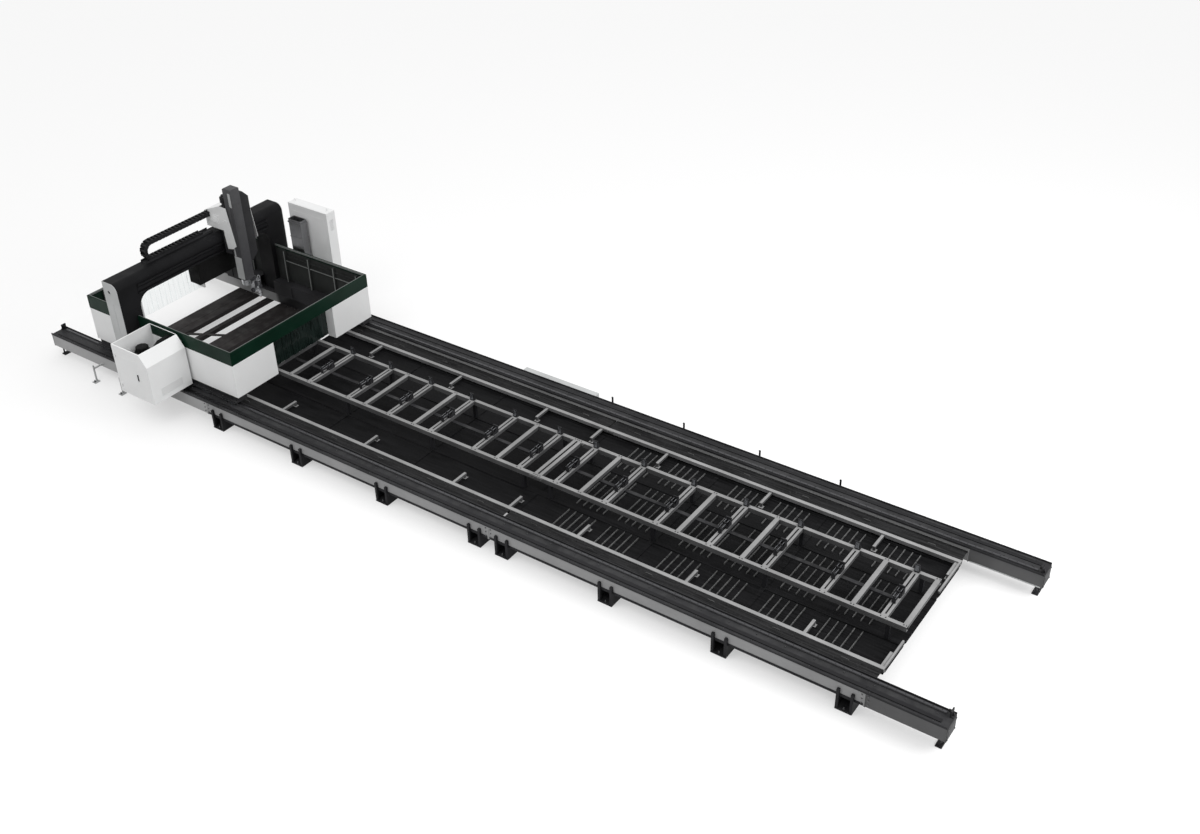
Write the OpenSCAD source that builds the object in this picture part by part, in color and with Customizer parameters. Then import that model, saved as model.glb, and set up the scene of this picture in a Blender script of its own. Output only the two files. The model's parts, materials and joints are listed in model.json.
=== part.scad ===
// Gantry cutting line for structural beams: two floor rails, a clamping bed between them and
// an open-topped gantry hood that carries a cross slide, a vertical ram and a tilting head.
// Millimetres. X runs along the rails, Y across them, Z up from the floor. The origin lies on
// the floor, midway along the rails and midway between them.

/* [Rails] */
// Length of the rails behind the bed, where the gantry parks
park_length = 4075; // [4050:5:4200]
// Length of the rails past the bed's front end
extension_length = 1075; // [1050:5:1300]
// Distance between the centres of the two rails
rail_gauge = 3357; // [3340:1:3420]
// Width of a rail's box girder
girder_width = 285; // [270:5:300]
// Height of a rail's box girder
girder_height = 225; // [200:5:250]
// Sheet thickness of the box girder
girder_wall = 10; // [6:1:16]
// Height of the girder's underside over the floor
girder_ground = 205; // [190:5:230]
// Thickness of the flange plates where two girders meet
flange_thickness = 12; // [8:1:20]
// How far a flange plate stands out past the girder's side
flange_lip = 6; // [2:1:8]
// How far the dark cap reaches past the girder's side
cap_overhang = 11; // [10:1:14]
// Thickness of the cap's floor
cap_thickness = 10; // [6:1:16]
// Width of the cap's raised lips
lip_width = 10; // [6:1:12]
// Width of the linear guide
guide_width = 34; // [30:1:40]
// Height of the linear guide, and of the cap's lips
guide_height = 26; // [22:1:32]
// Distance of the guide from the rail's centre, towards the bed
guide_offset = 93.5; // [88:0.5:96]
// Width of the drive track on the cap
track_width = 60; // [40:5:80]
// Distance of the drive track from the rail's centre, away from the bed
track_offset = 60; // [40:5:80]
// Thickness of the drive track
track_thickness = 12; // [8:1:14]
// Distance of the guides' and tracks' ends from the rails' ends
guide_inset = 110; // [100:5:130]
// Height of the end stops over the cap's floor
stop_rise = 105; // [95:1:120]
// Height of the bumpers' middle over the cap's floor
bumper_rise = 70; // [64:1:76]

/* [Rail feet] */
// Width over a foot's two posts, along the rail
foot_width = 240; // [220:5:250]
// Reach of a foot plate past the rail's centre, away from the bed
foot_reach = 190; // [186:1:210]
// Thickness of the foot plates
foot_plate = 20; // [12:1:24]
// Thickness of the feet's webs and top plates
fin_thickness = 12; // [8:1:16]
// Size of the square posts beside the girder
foot_post = 40; // [30:1:42]
// Height of the posts' tops over the floor
foot_post_top = 338; // [320:1:380]
// Distance of the outermost feet from their module's ends
foot_end = 255; // [240:5:280]
// Radius of the anchor holes in the feet
anchor_radius = 9; // [7:0.5:11]
// Distance of the anchor holes from the rail's centre
anchor_offset = 160; // [156:0.5:164]
// Distance of the first slim foot from the rails' back end
slim_first = 1365; // [1340:5:1400]
// Distance between the two slim feet
slim_step = 710; // [690:5:740]
// Distance of the slim feet's rods from the rail's centre
slim_offset = 338; // [337:1:345]
// Thickness of the slim feet's rods
slim_rod = 24; // [18:1:30]
// Height of the slim feet's rods
slim_height = 330; // [300:5:360]
// Distance of the end stands from the rails' ends
stand_inset = 95; // [80:5:110]
// Radius of the anchor holes in the end stands
stand_hole_radius = 9; // [7:0.5:12]

/* [Cross ties] */
// Distance of the rear tie from the rails' back end
tie_rear_place = 1215; // [1200:5:1225]
// Width of the rear tie
tie_rear_width = 470; // [450:5:500]
// Distance of the narrow tie from the rails' back end
tie_narrow_place = 1955; // [1940:5:1970]
// Width of the narrow tie
tie_narrow_width = 100; // [80:5:120]
// Distance of the front tie from the rails' back end
tie_front_place = 2340; // [2320:5:2360]
// Width of the front tie
tie_front_width = 450; // [430:5:470]
// Height of the ties
tie_rise = 80; // [60:5:100]
// Sheet thickness of the ties
tie_wall = 8; // [5:1:12]
// Width of the diagonal brace
brace_width = 70; // [50:5:90]

/* [Bed] */
// Length of one bed module
module_length = 6000; // [5900:10:6200]
// Distance of the light edge tubes from the centre line
strip_y = 1251; // [1235:1:1270]
// Width and height of the edge tubes
strip_size = 60; // [50:2:70]
// Height of the top of the edge tubes
strip_top = 392; // [380:1:400]
// Wall thickness of the bed's tubes
tube_wall = 5; // [3:0.5:8]
// Near edge of the raised frame, at its tube's centre
ladder_near = -615; // [-630:1:-600]
// Far edge of the raised frame, at its tube's centre
ladder_far = 468; // [455:1:480]
// Width of the raised frame's long tubes
ladder_width = 60; // [50:1:70]
// Height of the raised frame's long tubes
ladder_height = 80; // [64:1:100]
// Height of the raised frame's top over the floor
ladder_top = 617; // [605:1:630]
// Width of the plain cross members
member_width = 70; // [60:1:72]
// Width of the cross members that carry a clamp
clamp_member_width = 100; // [94:1:120]
// Height of the cross members
member_height = 60; // [40:1:62]
// Distance of the outermost clamp members from their module's ends
clamp_end = 345; // [330:1:400]
// Shift of the inner plain members from half-way between two clamp members
plain_shift = 80; // [0:5:120]
// Width of the bed's crossbeams
beam_width = 100; // [80:5:120]
// Height of the bed's crossbeams
beam_height = 80; // [60:5:90]
// Size of the upright posts that carry the raised frame
post_size = 56; // [44:1:58]
// Distance of the bed's own floor legs from the centre line
leg_y = 300; // [200:10:380]
// Size of the bed's own floor legs
leg_size = 80; // [60:5:100]
// Thickness of the trays and cover sheets
sheet_thickness = 4; // [3:0.5:6]
// Height of the ribs on the trays
rib_height = 26; // [16:1:40]
// Distance between two tray ribs
rib_pitch = 120; // [90:5:160]
// Number of ribs in a group
rib_count = 5; // [3:1:7]

/* [Clamps] */
// Width of a clamp jaw along the rails
jaw_width = 90; // [70:1:94]
// Length of a clamp jaw's base
jaw_depth = 120; // [100:1:140]
// Thickness of a jaw's base
jaw_base = 18; // [12:1:24]
// Thickness of a jaw's gripping plate
jaw_plate = 16; // [10:1:20]
// Height of a jaw over the raised frame
jaw_height = 125; // [100:1:135]
// Place of the jaws' gripping faces, measured from the centre line
jaw_face_y = -40; // [-100:5:0]
// Width of the slot that guides a jaw
jaw_slot = 22; // [16:1:30]
// Clearance between a jaw's stem and its slot, on each side
jaw_clearance = 0.5; // [0.3:0.1:1]
// Clearance under a jaw's base
jaw_lift = 0.3; // [0.2:0.1:0.6]
// Height of the tie bar that joins the jaws
tie_height = 24; // [16:1:30]
// Height of the fixed stops over the raised frame
stop_height = 138; // [120:1:140]
// Width of the fixed stops
stop_width = 80; // [60:1:90]
// Thickness of the fixed stops' plates
stop_plate = 14; // [8:1:18]

/* [Gantry] */
// Distance of the parked hood's back from the rails' back end
hood_gap = 1075; // [1060:5:1090]
// Length of the gantry hood
hood_length = 3594; // [3580:1:3610]
// Distance of the hood's side walls' outer faces from the centre line
hood_half_width = 1607; // [1600:1:1610]
// Thickness of the hood's walls
panel_thickness = 30; // [24:1:36]
// Height of the panels' lower edge
panel_bottom = 600; // [590:1:610]
// Height where the dark band begins
band_bottom = 1215; // [1200:1:1230]
// Height of the hood's rim
rim_height = 1461; // [1450:1:1475]
// Gap between neighbouring panels
seam = 2; // [1:0.5:4]
// Near edge of the openings for the workpiece
opening_near = -695; // [-710:1:-680]
// Far edge of the openings for the workpiece
opening_far = 700; // [690:1:720]
// Depth of the panels' returns beside the openings
return_depth = 159; // [150:1:162]
// Thickness of the gantry's base plates
base_thickness = 20; // [16:1:24]
// Gap between the cap's lips and the base plates
base_gap = 34; // [32:1:40]
// Inner edge of the base plates and side beams
truck_inner = 1400; // [1380:1:1420]
// Outer edge of the base plates
truck_outer = 1640; // [1636:1:1650]
// Height of the side beams
truck_height = 240; // [200:5:260]
// Wall thickness of the side beams
truck_wall = 10; // [6:1:14]
// Distance of the portal frame's back from the hood's back
portal_place = 980; // [970:1:1000]
// Depth of the portal frame along the rails
portal_depth = 350; // [340:1:356]
// Half the width over the portal frame
portal_half = 1875; // [1870:1:1880]
// Width of the portal's legs
leg_width = 390; // [370:1:400]
// Height of the portal's top
portal_top = 2150; // [2130:1:2160]
// Height of the portal's beam
portal_beam = 350; // [330:1:360]
// Radius of the portal's rounded top edge
portal_round = 130; // [100:1:140]
// Radius of the portal's inner corners
arch_round = 230; // [180:5:260]
// Thickness of the light cheeks on the legs
cheek_thickness = 10; // [6:1:10]
// Radius of the lifting holes in the cheeks
lift_hole_radius = 30; // [20:1:40]
// Length of a guide block
block_length = 160; // [120:5:180]
// Width of a guide block
block_width = 84; // [76:1:88]
// Clearance between a guide block and its guide
block_clearance = 0.4; // [0.3:0.1:0.6]
// Height of the front curtain's upper edge
curtain_top = 1120; // [1080:5:1150]
// Height of the curtains' lower edge
curtain_bottom = 640; // [630:1:660]
// Number of curtain strips
strip_count = 13; // [9:1:15]
// Length of the extraction box under the beam
duct_length = 1100; // [900:10:1200]
// Height of the extraction box under the beam
duct_height = 450; // [400:5:460]

/* [Cross slide and ram] */
// Near face of the cross slide's cover at rest
saddle_near = 430; // [420:1:440]
// Width of the cross slide's cover
cover_width = 520; // [500:1:540]
// Sheet thickness of the cross slide's cover
cover_wall = 8; // [4:1:8]
// Height of the cover's front edge
cover_top = 2690; // [2670:1:2710]
// Height of the cover's back edge
cover_back_top = 2530; // [2500:1:2560]
// Width and depth of the ram
ram_size = 200; // [180:1:204]
// Near face of the ram at rest
ram_near = 450; // [448:1:456]
// Distance of the ram's front face from the portal's front
ram_reach = 420; // [410:1:425]
// Height of the ram's top at rest
ram_top = 3050; // [3030:5:3080]
// Height of the ram's lower end at rest
ram_bottom = 1320; // [1300:5:1340]
// Width of the ram's guides
z_guide_width = 24; // [20:1:30]
// Depth of the ram's guides
z_guide_depth = 20; // [16:1:24]
// Width of the long cover beside the ram
side_cover_width = 190; // [150:5:200]

/* [Cutting head] */
// Radius of the swivel housing
swivel_radius = 92; // [80:1:96]
// Height of the swivel housing
swivel_height = 130; // [110:1:135]
// Gap between the ram and the swivel housing
swivel_gap = 0.5; // [0.3:0.1:1]
// Height of the tilt axis over the floor, at rest
tilt_height = 1010; // [1000:1:1020]
// Radius of the tilt hub
hub_radius = 50; // [42:1:54]
// Distance of the cutting axis from the ram's axis
head_offset = 240; // [236:1:242]
// Radius of the cutting head's barrel
barrel_radius = 38; // [30:1:38]
// Height of the nozzle's tip over the floor, at rest
tip_height = 792; // [788:1:800]
// Radius of the nozzle's opening
nozzle_radius = 2; // [1:0.5:3]

/* [Cabinets] */
// Distance of the near cabinet's front from the hood's front
near_place = 1079; // [1070:1:1090]
// Length of the near cabinet along the rails
near_length = 830; // [780:5:840]
// Outer face of the near cabinet, from the centre line
near_outer = 2450; // [2430:5:2460]
// Inner face of both cabinets' supports and of the near cabinet
cabinet_inner = 1650; // [1650:1:1655]
// Height of the near cabinet's vertical front
near_shoulder = 1250; // [1230:5:1270]
// Height of the near cabinet's top
near_top = 1450; // [1430:5:1460]
// How far the near cabinet's sloped front leans back
near_slope = 145; // [120:5:160]
// Height of the near cabinet's wall beside the hood
near_inner_top = 1000; // [900:10:1100]
// Wall thickness of the cabinets
cabinet_wall = 20; // [14:1:24]
// Height of the arms that carry the cabinets
arm_height = 40; // [30:1:44]
// Distance of the far cabinet's front from the hood's front
far_place = 1074; // [1065:1:1085]
// Length of the far cabinet along the rails
far_length = 960; // [930:5:970]
// Inner face of the far cabinet
far_inner = 1850; // [1840:5:1860]
// Depth of the far cabinet
far_depth = 210; // [190:5:260]
// Height of the far cabinet's top
far_top = 2250; // [2220:5:2290]
// Width of the frame round a cabinet door
door_border = 60; // [50:1:70]
// Gap round a cabinet door
door_gap = 3; // [2:0.5:4]
// Thickness of the cabinet doors
door_thickness = 18; // [12:1:20]
// Radius of the hinge pins
pin_radius = 4; // [3:0.5:5]
// Radius of the hinge knuckles
knuckle_radius = 8; // [7:0.5:9]
// Running clearance round a hinge pin
pin_clearance = 0.06; // [0.04:0.01:0.1]
// Distance of the extraction riser's front from the far cabinet's front
riser_place = 490; // [470:5:510]
// Width of the extraction riser
riser_width = 300; // [280:5:320]
// Depth of the extraction riser
riser_depth = 150; // [120:5:170]
// Height of the extraction riser's top
riser_top = 2050; // [2020:5:2080]

/* [Energy chains] */
// Width of the long energy chain
chain_width = 80; // [60:2:84]
// Height of a chain link
link_height = 40; // [30:1:44]
// Distance between two link joints
link_pitch = 100; // [80:5:120]
// Radius of the long chain's bend, at the link's middle
chain_radius = 176; // [170:1:180]
// Distance of the long chain's fixed end from the bed's middle
chain_fixed = 1100; // [1000:10:1200]
// Distance of the long chain's moving end from the portal's back
chain_bracket = 118; // [110:1:126]
// Distance of the long chain's bend from its moving end
chain_lead = 498; // [480:1:520]
// Width of the beam chain
beam_chain_width = 130; // [110:2:140]
// Height of a link of the beam chain
beam_link = 70; // [60:1:74]
// Radius of the beam chain's bend, at the link's middle
beam_chain_radius = 143; // [138:1:150]
// Near end of the tray under the beam chain
beam_tray_near = -1060; // [-1100:5:-1000]
// Far end of the tray under the beam chain
beam_tray_far = 410; // [380:5:440]
// Width of the trough for the long chain
trough_width = 110; // [104:1:114]
// Height of the trough's sides
trough_height = 50; // [40:1:52]
// Distance of the trough's brackets from the feet beside them
bracket_lead = 145; // [142:1:170]
// Width of the trough's brackets
bracket_width = 30; // [20:1:34]
// Distance of the trough's back end from the rails' back end
trough_back = 1275; // [1270:5:1300]
// Distance of the junction box's back from the bed's middle
junction_back = 2180; // [2150:5:2200]
// Length of the junction box
junction_length = 1510; // [1480:5:1540]
// Height of the junction box
junction_height = 92; // [80:1:100]
// Height of the hooked posts beside the trough
hook_height = 160; // [120:1:180]
// Reach of the hooked posts' tips over the trough
hook_tip = 12; // [6:1:12]

/* [Hidden] */
$fn = 48;
rail_length = park_length + 2 * module_length + extension_length;
rail_end = rail_length / 2;
rail_start = -rail_end;
bed_start = rail_start + park_length;
bed_mid = bed_start + module_length;
bed_end = bed_start + 2 * module_length;
centres = [bed_start + module_length / 2, bed_mid + module_length / 2];
gy = rail_gauge / 2;
cap_z = girder_ground + girder_height;
deck_z = cap_z + cap_thickness;
lip_z = deck_z + guide_height;
outer_y = gy + girder_width / 2;
inner_y = gy - girder_width / 2;
cap_half = girder_width / 2 + cap_overhang;
guide_y = gy - guide_offset;
foot_out = module_length / 2 - foot_end;
foot_steps = [-foot_out, -foot_out / 3, foot_out / 3, foot_out];
stand_x = rail_end - stand_inset;
slim_x = [rail_start + slim_first, rail_start + slim_first + slim_step];
tie_rear = rail_start + tie_rear_place;
tie_narrow = rail_start + tie_narrow_place;
tie_front = rail_start + tie_front_place;
beam_top = girder_ground + beam_height;
near_edge = ladder_near + ladder_width / 2;
far_edge = ladder_far - ladder_width / 2;
ladder_base = ladder_top - ladder_height;
jaw_steps = [-3, -2, -1, 0, 1, 2, 3];
clamp_pitch = (module_length - 2 * clamp_end) / 6;
plain_inner = clamp_pitch / 2 + plain_shift;
plain_outer = clamp_pitch * 2.5;
slot_near = near_edge + 40;
slot_far = far_edge - 40;
stem_y0 = jaw_face_y - jaw_depth + 10;
bar_top = ladder_top - member_height - 6;
base_z0 = lip_z + base_gap;
base_z1 = base_z0 + base_thickness;
truck_top = base_z1 + truck_height;
wall_in = hood_half_width - panel_thickness;
hood_back = rail_start + hood_gap;
hood_front = hood_back + hood_length;
hood_x0 = hood_back + panel_thickness;
hood_x1 = hood_front - panel_thickness;
portal_back = hood_back + portal_place;
portal_front = portal_back + portal_depth;
arch_half = portal_half - leg_width;
arch_top = portal_top - portal_beam;
foot_x0 = portal_back - 180;
foot_x1 = portal_front + 320;
lining_top = rim_height - 60;
saddle_back = portal_back + 20;
ram_front = portal_front + ram_reach;
ram_y = ram_near + ram_size / 2;
ram_x = ram_front - ram_size / 2;
ram_back = ram_front - ram_size;
swivel_top = ram_bottom - swivel_gap;
swivel_bottom = swivel_top - swivel_height;
head_y = ram_y + head_offset;
arm_z0 = base_z0;
arm_z1 = base_z0 + arm_height;
near_front = hood_front - near_place;
far_front = hood_front - far_place;
trough_z = girder_ground + 75;
trough_y0 = outer_y + 59;
chain_y = trough_y0 + trough_width / 2;
chain_z = trough_z + sheet_thickness;
chain_axis_z = chain_z + link_height / 2 + chain_radius;
chain_end = portal_back + chain_bracket;
chain_bend = chain_end - chain_lead;
chain_x1 = bed_mid - chain_fixed;
bracket_pitch = (module_length + foot_end) * 2 / 9;
bracket_x = [for (k = [-5 : 4]) bed_mid - foot_end - bracket_lead + k * bracket_pitch];
beam_tray_z = portal_top + sheet_thickness;
beam_chain_z = beam_tray_z + beam_link / 2 + beam_chain_radius;
beam_chain_x = portal_back + beam_chain_width / 2 + 20;
beam_bend_y = -870;

// Box between two corners
module blk(x0, x1, y0, y1, z0, z1) {
    translate([x0, y0, z0]) cube([x1 - x0, y1 - y0, z1 - z0]);
}

// Profile drawn in Y and Z, pulled along X
module along_x(x0, x1) {
    translate([x0, 0, 0]) rotate([90, 0, 90]) linear_extrude(x1 - x0) children();
}

// Profile drawn in X and Z, pulled along Y
module along_y(y0, y1) {
    translate([0, y1, 0]) rotate([90, 0, 0]) linear_extrude(y1 - y0) children();
}

// The piece as drawn on the far side, and its mirror image on the near side
module both() {
    children();
    mirror([0, 1, 0]) children();
}

// Rectangle between two corners
module rect(a0, a1, b0, b1) {
    translate([a0, b0]) square([a1 - a0, b1 - b0]);
}

// Square tube along X
module tube_x(x0, x1, y0, y1, z0, z1, wall) {
    along_x(x0, x1) difference() {
        rect(y0, y1, z0, z1);
        rect(y0 + wall, y1 - wall, z0 + wall, z1 - wall);
    }
}

// Square tube along Y
module tube_y(x0, x1, y0, y1, z0, z1, wall) {
    along_y(y0, y1) difference() {
        rect(x0, x1, z0, z1);
        rect(x0 + wall, x1 - wall, z0 + wall, z1 - wall);
    }
}

// One stretch of box girder with a pierced flange plate at each end
module girder(x0, x1) {
    tube_x(x0 + flange_thickness, x1 - flange_thickness, inner_y, outer_y,
        girder_ground, cap_z, girder_wall);
    for (x = [x0, x1 - flange_thickness]) {
        difference() {
            blk(x, x + flange_thickness, inner_y - flange_lip, outer_y + flange_lip,
                girder_ground - flange_lip, cap_z);
            translate([x - 1, gy, girder_ground + girder_height / 2])
                rotate([0, 90, 0]) cylinder(h = flange_thickness + 2, r = girder_height / 4);
        }
    }
}

module rail_girders() {
    color([0.42, 0.43, 0.44]) both() {
        girder(bed_start, bed_mid);
        girder(bed_mid, bed_end);
    }
}

// Girders of the parking stretch and of the extension past the bed
module end_girders() {
    color([0.2, 0.2, 0.21]) both() {
        girder(rail_start, bed_start);
        girder(bed_end, rail_end);
    }
}

module rail_caps() {
    color([0.12, 0.12, 0.13]) both() along_x(rail_start, rail_end) {
        rect(gy - cap_half, gy + cap_half, cap_z, deck_z);
        rect(gy - cap_half, gy - cap_half + lip_width, cap_z, lip_z);
        rect(gy + cap_half - lip_width, gy + cap_half, cap_z, lip_z);
    }
}

module x_guides() {
    g = guide_width / 2;
    h = guide_height;
    color([0.6, 0.61, 0.63]) both() along_x(rail_start + guide_inset, rail_end - guide_inset)
        translate([guide_y, deck_z]) polygon([
            [-g, 0], [g, 0], [g, h * 0.4], [g - 3, h * 0.5], [g - 3, h * 0.65],
            [g, h * 0.75], [g, h - 2], [g - 2, h], [2 - g, h], [-g, h - 2],
            [-g, h * 0.75], [3 - g, h * 0.65], [3 - g, h * 0.5], [-g, h * 0.4]
        ]);
}

module x_tracks() {
    y = gy + track_offset;
    l = rail_end - guide_inset;
    color([0.3, 0.3, 0.32]) both() difference() {
        blk(-l, l, y - track_width / 2, y + track_width / 2, deck_z, deck_z + track_thickness);
        for (i = [1 : 16])
            blk(-l + i * l / 8.5, -l + i * l / 8.5 + seam, y - track_width, y + track_width,
                deck_z + track_thickness - 4, deck_z + track_thickness + 1);
    }
}

// Foot under the rail: base plate, two webs, top plate and a post on each side of the anchor
module foot(x) {
    w = foot_width / 2;
    difference() {
        union() {
            blk(x - w, x + w, gy - 150, gy + foot_reach, 0, foot_plate);
            blk(x - w, x + w, gy - 110, outer_y, girder_ground - fin_thickness, girder_ground);
            for (e = [-w, w - fin_thickness])
                blk(x + e, x + e + fin_thickness, gy - 110, outer_y, foot_plate,
                    girder_ground - fin_thickness);
            for (e = [-w, w - foot_post])
                blk(x + e, x + e + foot_post, outer_y, outer_y + foot_post, foot_plate,
                    foot_post_top);
        }
        translate([x, gy + anchor_offset, -1]) cylinder(h = foot_plate + 2, r = anchor_radius);
    }
}

module rail_feet() {
    color([0.08, 0.08, 0.09]) both() for (c = centres, s = foot_steps) foot(c + s);
}

// Thin foot beside the parking stretch: pad with an anchor hole, rod and arm to the girder
module slim_foot(x) {
    r = slim_rod / 2;
    y = gy + slim_offset;
    difference() {
        blk(x - 45, x + 45, y - 40, y + 70, 0, fin_thickness);
        translate([x, y + 42, -1]) cylinder(h = fin_thickness + 2, r = anchor_radius);
    }
    blk(x - r, x + r, y - r, y + r, fin_thickness, slim_height);
    blk(x - r, x + r, outer_y, y - r, trough_z - slim_rod, trough_z);
}

module slim_feet() {
    color([0.6, 0.61, 0.61]) both() for (x = slim_x) slim_foot(x);
}

// Low stand under a rail's end: pad with an anchor hole between two studs, and a top plate
module stand(x) {
    difference() {
        blk(x - 45, x + 45, gy - 80, gy + 80, 0, foot_plate);
        translate([x, gy, -1]) cylinder(h = foot_plate + 2, r = stand_hole_radius);
    }
    for (y = [gy - 55, gy + 55])
        translate([x, y, foot_plate])
            cylinder(h = girder_ground - fin_thickness - foot_plate, r = 14);
    blk(x - 45, x + 45, gy - 80, gy + 80, girder_ground - fin_thickness, girder_ground);
}

module end_stands() {
    color([0.1, 0.1, 0.11]) both() {
        stand(-stand_x);
        stand(stand_x);
    }
}

stop_x = rail_end - 55;

// Upright stops with a gusset at each rail's end
module end_stops() {
    color([0.1, 0.1, 0.11]) both() for (m = [0, 1]) mirror([m, 0, 0]) {
        blk(stop_x, stop_x + 18, guide_y - 45, guide_y + 45, deck_z, deck_z + stop_rise);
        blk(stop_x + 18, stop_x + 50, guide_y - 45, guide_y + 45, deck_z, deck_z + 14);
        along_y(guide_y - 7, guide_y + 7) polygon([
            [stop_x + 18, deck_z + 14], [stop_x + 50, deck_z + 14],
            [stop_x + 18, deck_z + stop_rise - 12]
        ]);
    }
}

module bumpers() {
    color([0.05, 0.05, 0.05]) both() for (s = [-1, 1])
        translate([s * stop_x, guide_y, deck_z + bumper_rise])
            rotate([0, -s * 90, 0]) cylinder(h = 35, r = 20);
}

// Low ties under both girders of the parking stretch, with the diagonal brace between them
module cross_ties() {
    z0 = girder_ground - tie_rise;
    z1 = girder_ground;
    t = tie_wall;
    brace_x0 = tie_rear + tie_rear_width;
    color([0.08, 0.07, 0.07]) {
        for (b = [[tie_rear, tie_rear_width], [tie_front, tie_front_width]])
            tube_y(b[0], b[0] + b[1], -gy, gy, z0, z1, t);
        tube_y(tie_narrow, tie_narrow + tie_narrow_width, -gy, gy, z0, z1, t);
        translate([0, 0, z1 - 20]) linear_extrude(14) difference() {
            polygon([
                [brace_x0, -260], [brace_x0, -260 + brace_width],
                [tie_front, 90 + brace_width], [tie_front, 90]
            ]);
            rect(tie_narrow, tie_narrow + tie_narrow_width, -gy, gy);
        }
    }
}

module bed_crossbeams() {
    color([0.17, 0.17, 0.18]) for (c = centres, s = foot_steps) {
        x = c + s;
        p = post_size / 2;
        b = beam_width / 2;
        tube_y(x - b, x + b, -inner_y, inner_y, girder_ground, beam_top, tube_wall);
        for (y = [ladder_near, ladder_far])
            blk(x - p, x + p, y - p, y + p, beam_top, ladder_base);
        both() {
            blk(x - p, x + p, strip_y - p / 2, strip_y + p / 2, beam_top,
                strip_top - strip_size);
            blk(x - 20, x + 20, inner_y - 130, inner_y - 90, beam_top,
                strip_top - 12 - sheet_thickness);
            blk(x - leg_size / 2, x + leg_size / 2, leg_y, leg_y + leg_size, foot_plate,
                girder_ground);
            blk(x - leg_size, x + leg_size, leg_y - 40, leg_y + leg_size + 40, 0, foot_plate);
        }
    }
}

module edge_tubes() {
    color([0.66, 0.67, 0.68]) both()
        tube_x(bed_start, bed_end, strip_y - strip_size / 2, strip_y + strip_size / 2,
            strip_top - strip_size, strip_top, tube_wall);
}

module ladder_tubes() {
    color([0.66, 0.67, 0.68]) for (y = [ladder_near, ladder_far])
        tube_x(bed_start, bed_end, y - ladder_width / 2, y + ladder_width / 2,
            ladder_base, ladder_top, tube_wall);
}

// Cross member between the raised frame's long tubes
module member(x, w) {
    blk(x - w / 2, x + w / 2, near_edge, far_edge, ladder_top - member_height, ladder_top);
}

module plain_members() {
    h = member_width / 2;
    color([0.64, 0.65, 0.66]) {
        for (c = centres, o = [-plain_outer, -plain_inner, plain_inner, plain_outer])
            member(c + o, member_width);
        for (x = [bed_start + h, bed_mid - h - 1, bed_mid + h + 1, bed_end - h])
            member(x, member_width);
        blk(bed_end - 30, bed_end, -strip_y + strip_size / 2, ladder_near - ladder_width / 2,
            strip_top - 40, strip_top);
        blk(bed_end - 30, bed_end, ladder_far + ladder_width / 2, strip_y - strip_size / 2,
            strip_top - 40, strip_top);
    }
}

module clamp_members() {
    color([0.64, 0.65, 0.66]) for (c = centres, s = jaw_steps) {
        x = c + s * clamp_pitch;
        difference() {
            member(x, clamp_member_width);
            blk(x - jaw_slot / 2, x + jaw_slot / 2, slot_near, slot_far,
                ladder_top - member_height - 1, ladder_top + 1);
        }
    }
}

// Cover sheet with turned-down edges, one for each module on each side
module cover_sheets() {
    z = strip_top - 12;
    y0 = strip_y + strip_size / 2;
    y1 = inner_y - flange_lip - 1;
    t = sheet_thickness;
    color([0.11, 0.11, 0.12]) both() for (x = [bed_start, bed_mid])
        along_x(x + flange_thickness + 4, x + module_length - flange_thickness - 4)
            polygon([
                [y0, z - 32], [y0, z], [y1, z], [y1, z - 32], [y1 - t, z - 32],
                [y1 - t, z - t], [y0 + t, z - t], [y0 + t, z - 32]
            ]);
}

// Tray sheet lying on the crossbeams
module pan(x0, x1, y0, y1) {
    blk(x0, x1, y0, y1, beam_top, beam_top + sheet_thickness);
}

pan_edges = [4 - module_length / 2, -foot_out / 3, foot_out / 3, module_length / 2 - 4];

module side_trays() {
    n0 = -strip_y + strip_size / 2 + 4;
    n1 = ladder_near - ladder_width / 2 - 2;
    f0 = ladder_far + ladder_width / 2 + 2;
    f1 = strip_y - strip_size / 2 - 4;
    color([0.1, 0.1, 0.11]) for (c = centres, i = [0 : 2]) {
        pan(c + pan_edges[i] + 2, c + pan_edges[i + 1] - 2, n0, n1);
        pan(c + pan_edges[i] + 2, c + pan_edges[i + 1] - 2, f0, f1);
    }
}

module middle_trays() {
    n0 = near_edge + 2;
    f0 = far_edge - 2;
    color([0.1, 0.1, 0.11]) for (c = centres, i = [0 : 2])
        pan(c + pan_edges[i] + 2, c + pan_edges[i + 1] - 2, n0, f0);
}

// Places of the rib groups, as parts of the module's length from its centre
rib_places = [-0.35, -0.225, -0.05, 0.075, 0.225, 0.367];

// Group of ribs standing on a tray
module rib_group(xm, y0, y1) {
    z = beam_top + sheet_thickness;
    for (k = [0 : rib_count - 1]) {
        x = xm + (k - (rib_count - 1) / 2) * rib_pitch;
        blk(x - 6, x + 6, y0, y1, z, z + rib_height);
    }
}

module tray_ribs() {
    c = centres[1];
    n0 = -strip_y + strip_size / 2 + 60;
    n1 = ladder_near - ladder_width / 2 - 60;
    f0 = ladder_far + ladder_width / 2 + 60;
    f1 = strip_y - strip_size / 2 - 60;
    color([0.3, 0.3, 0.31]) for (p = rib_places) {
        x = c + p * module_length;
        rib_group(x, n0, n1);
        rib_group(x, f0, f1);
        rib_group(x, near_edge + 60, far_edge - 60);
    }
}

// Fixed stop over a clamp member, on the far long tube
module stop(x) {
    w = stop_width / 2;
    y0 = far_edge;
    z = ladder_top;
    blk(x - w, x + w, y0, y0 + ladder_width, z, z + stop_plate);
    blk(x - w, x + w, y0, y0 + stop_plate, z, z + stop_height);
    for (e = [-w, w - stop_plate])
        along_x(x + e, x + e + stop_plate) polygon([
            [y0 + stop_plate, z + stop_plate], [y0 + ladder_width, z + stop_plate],
            [y0 + stop_plate, z + stop_height - 20]
        ]);
}

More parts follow.
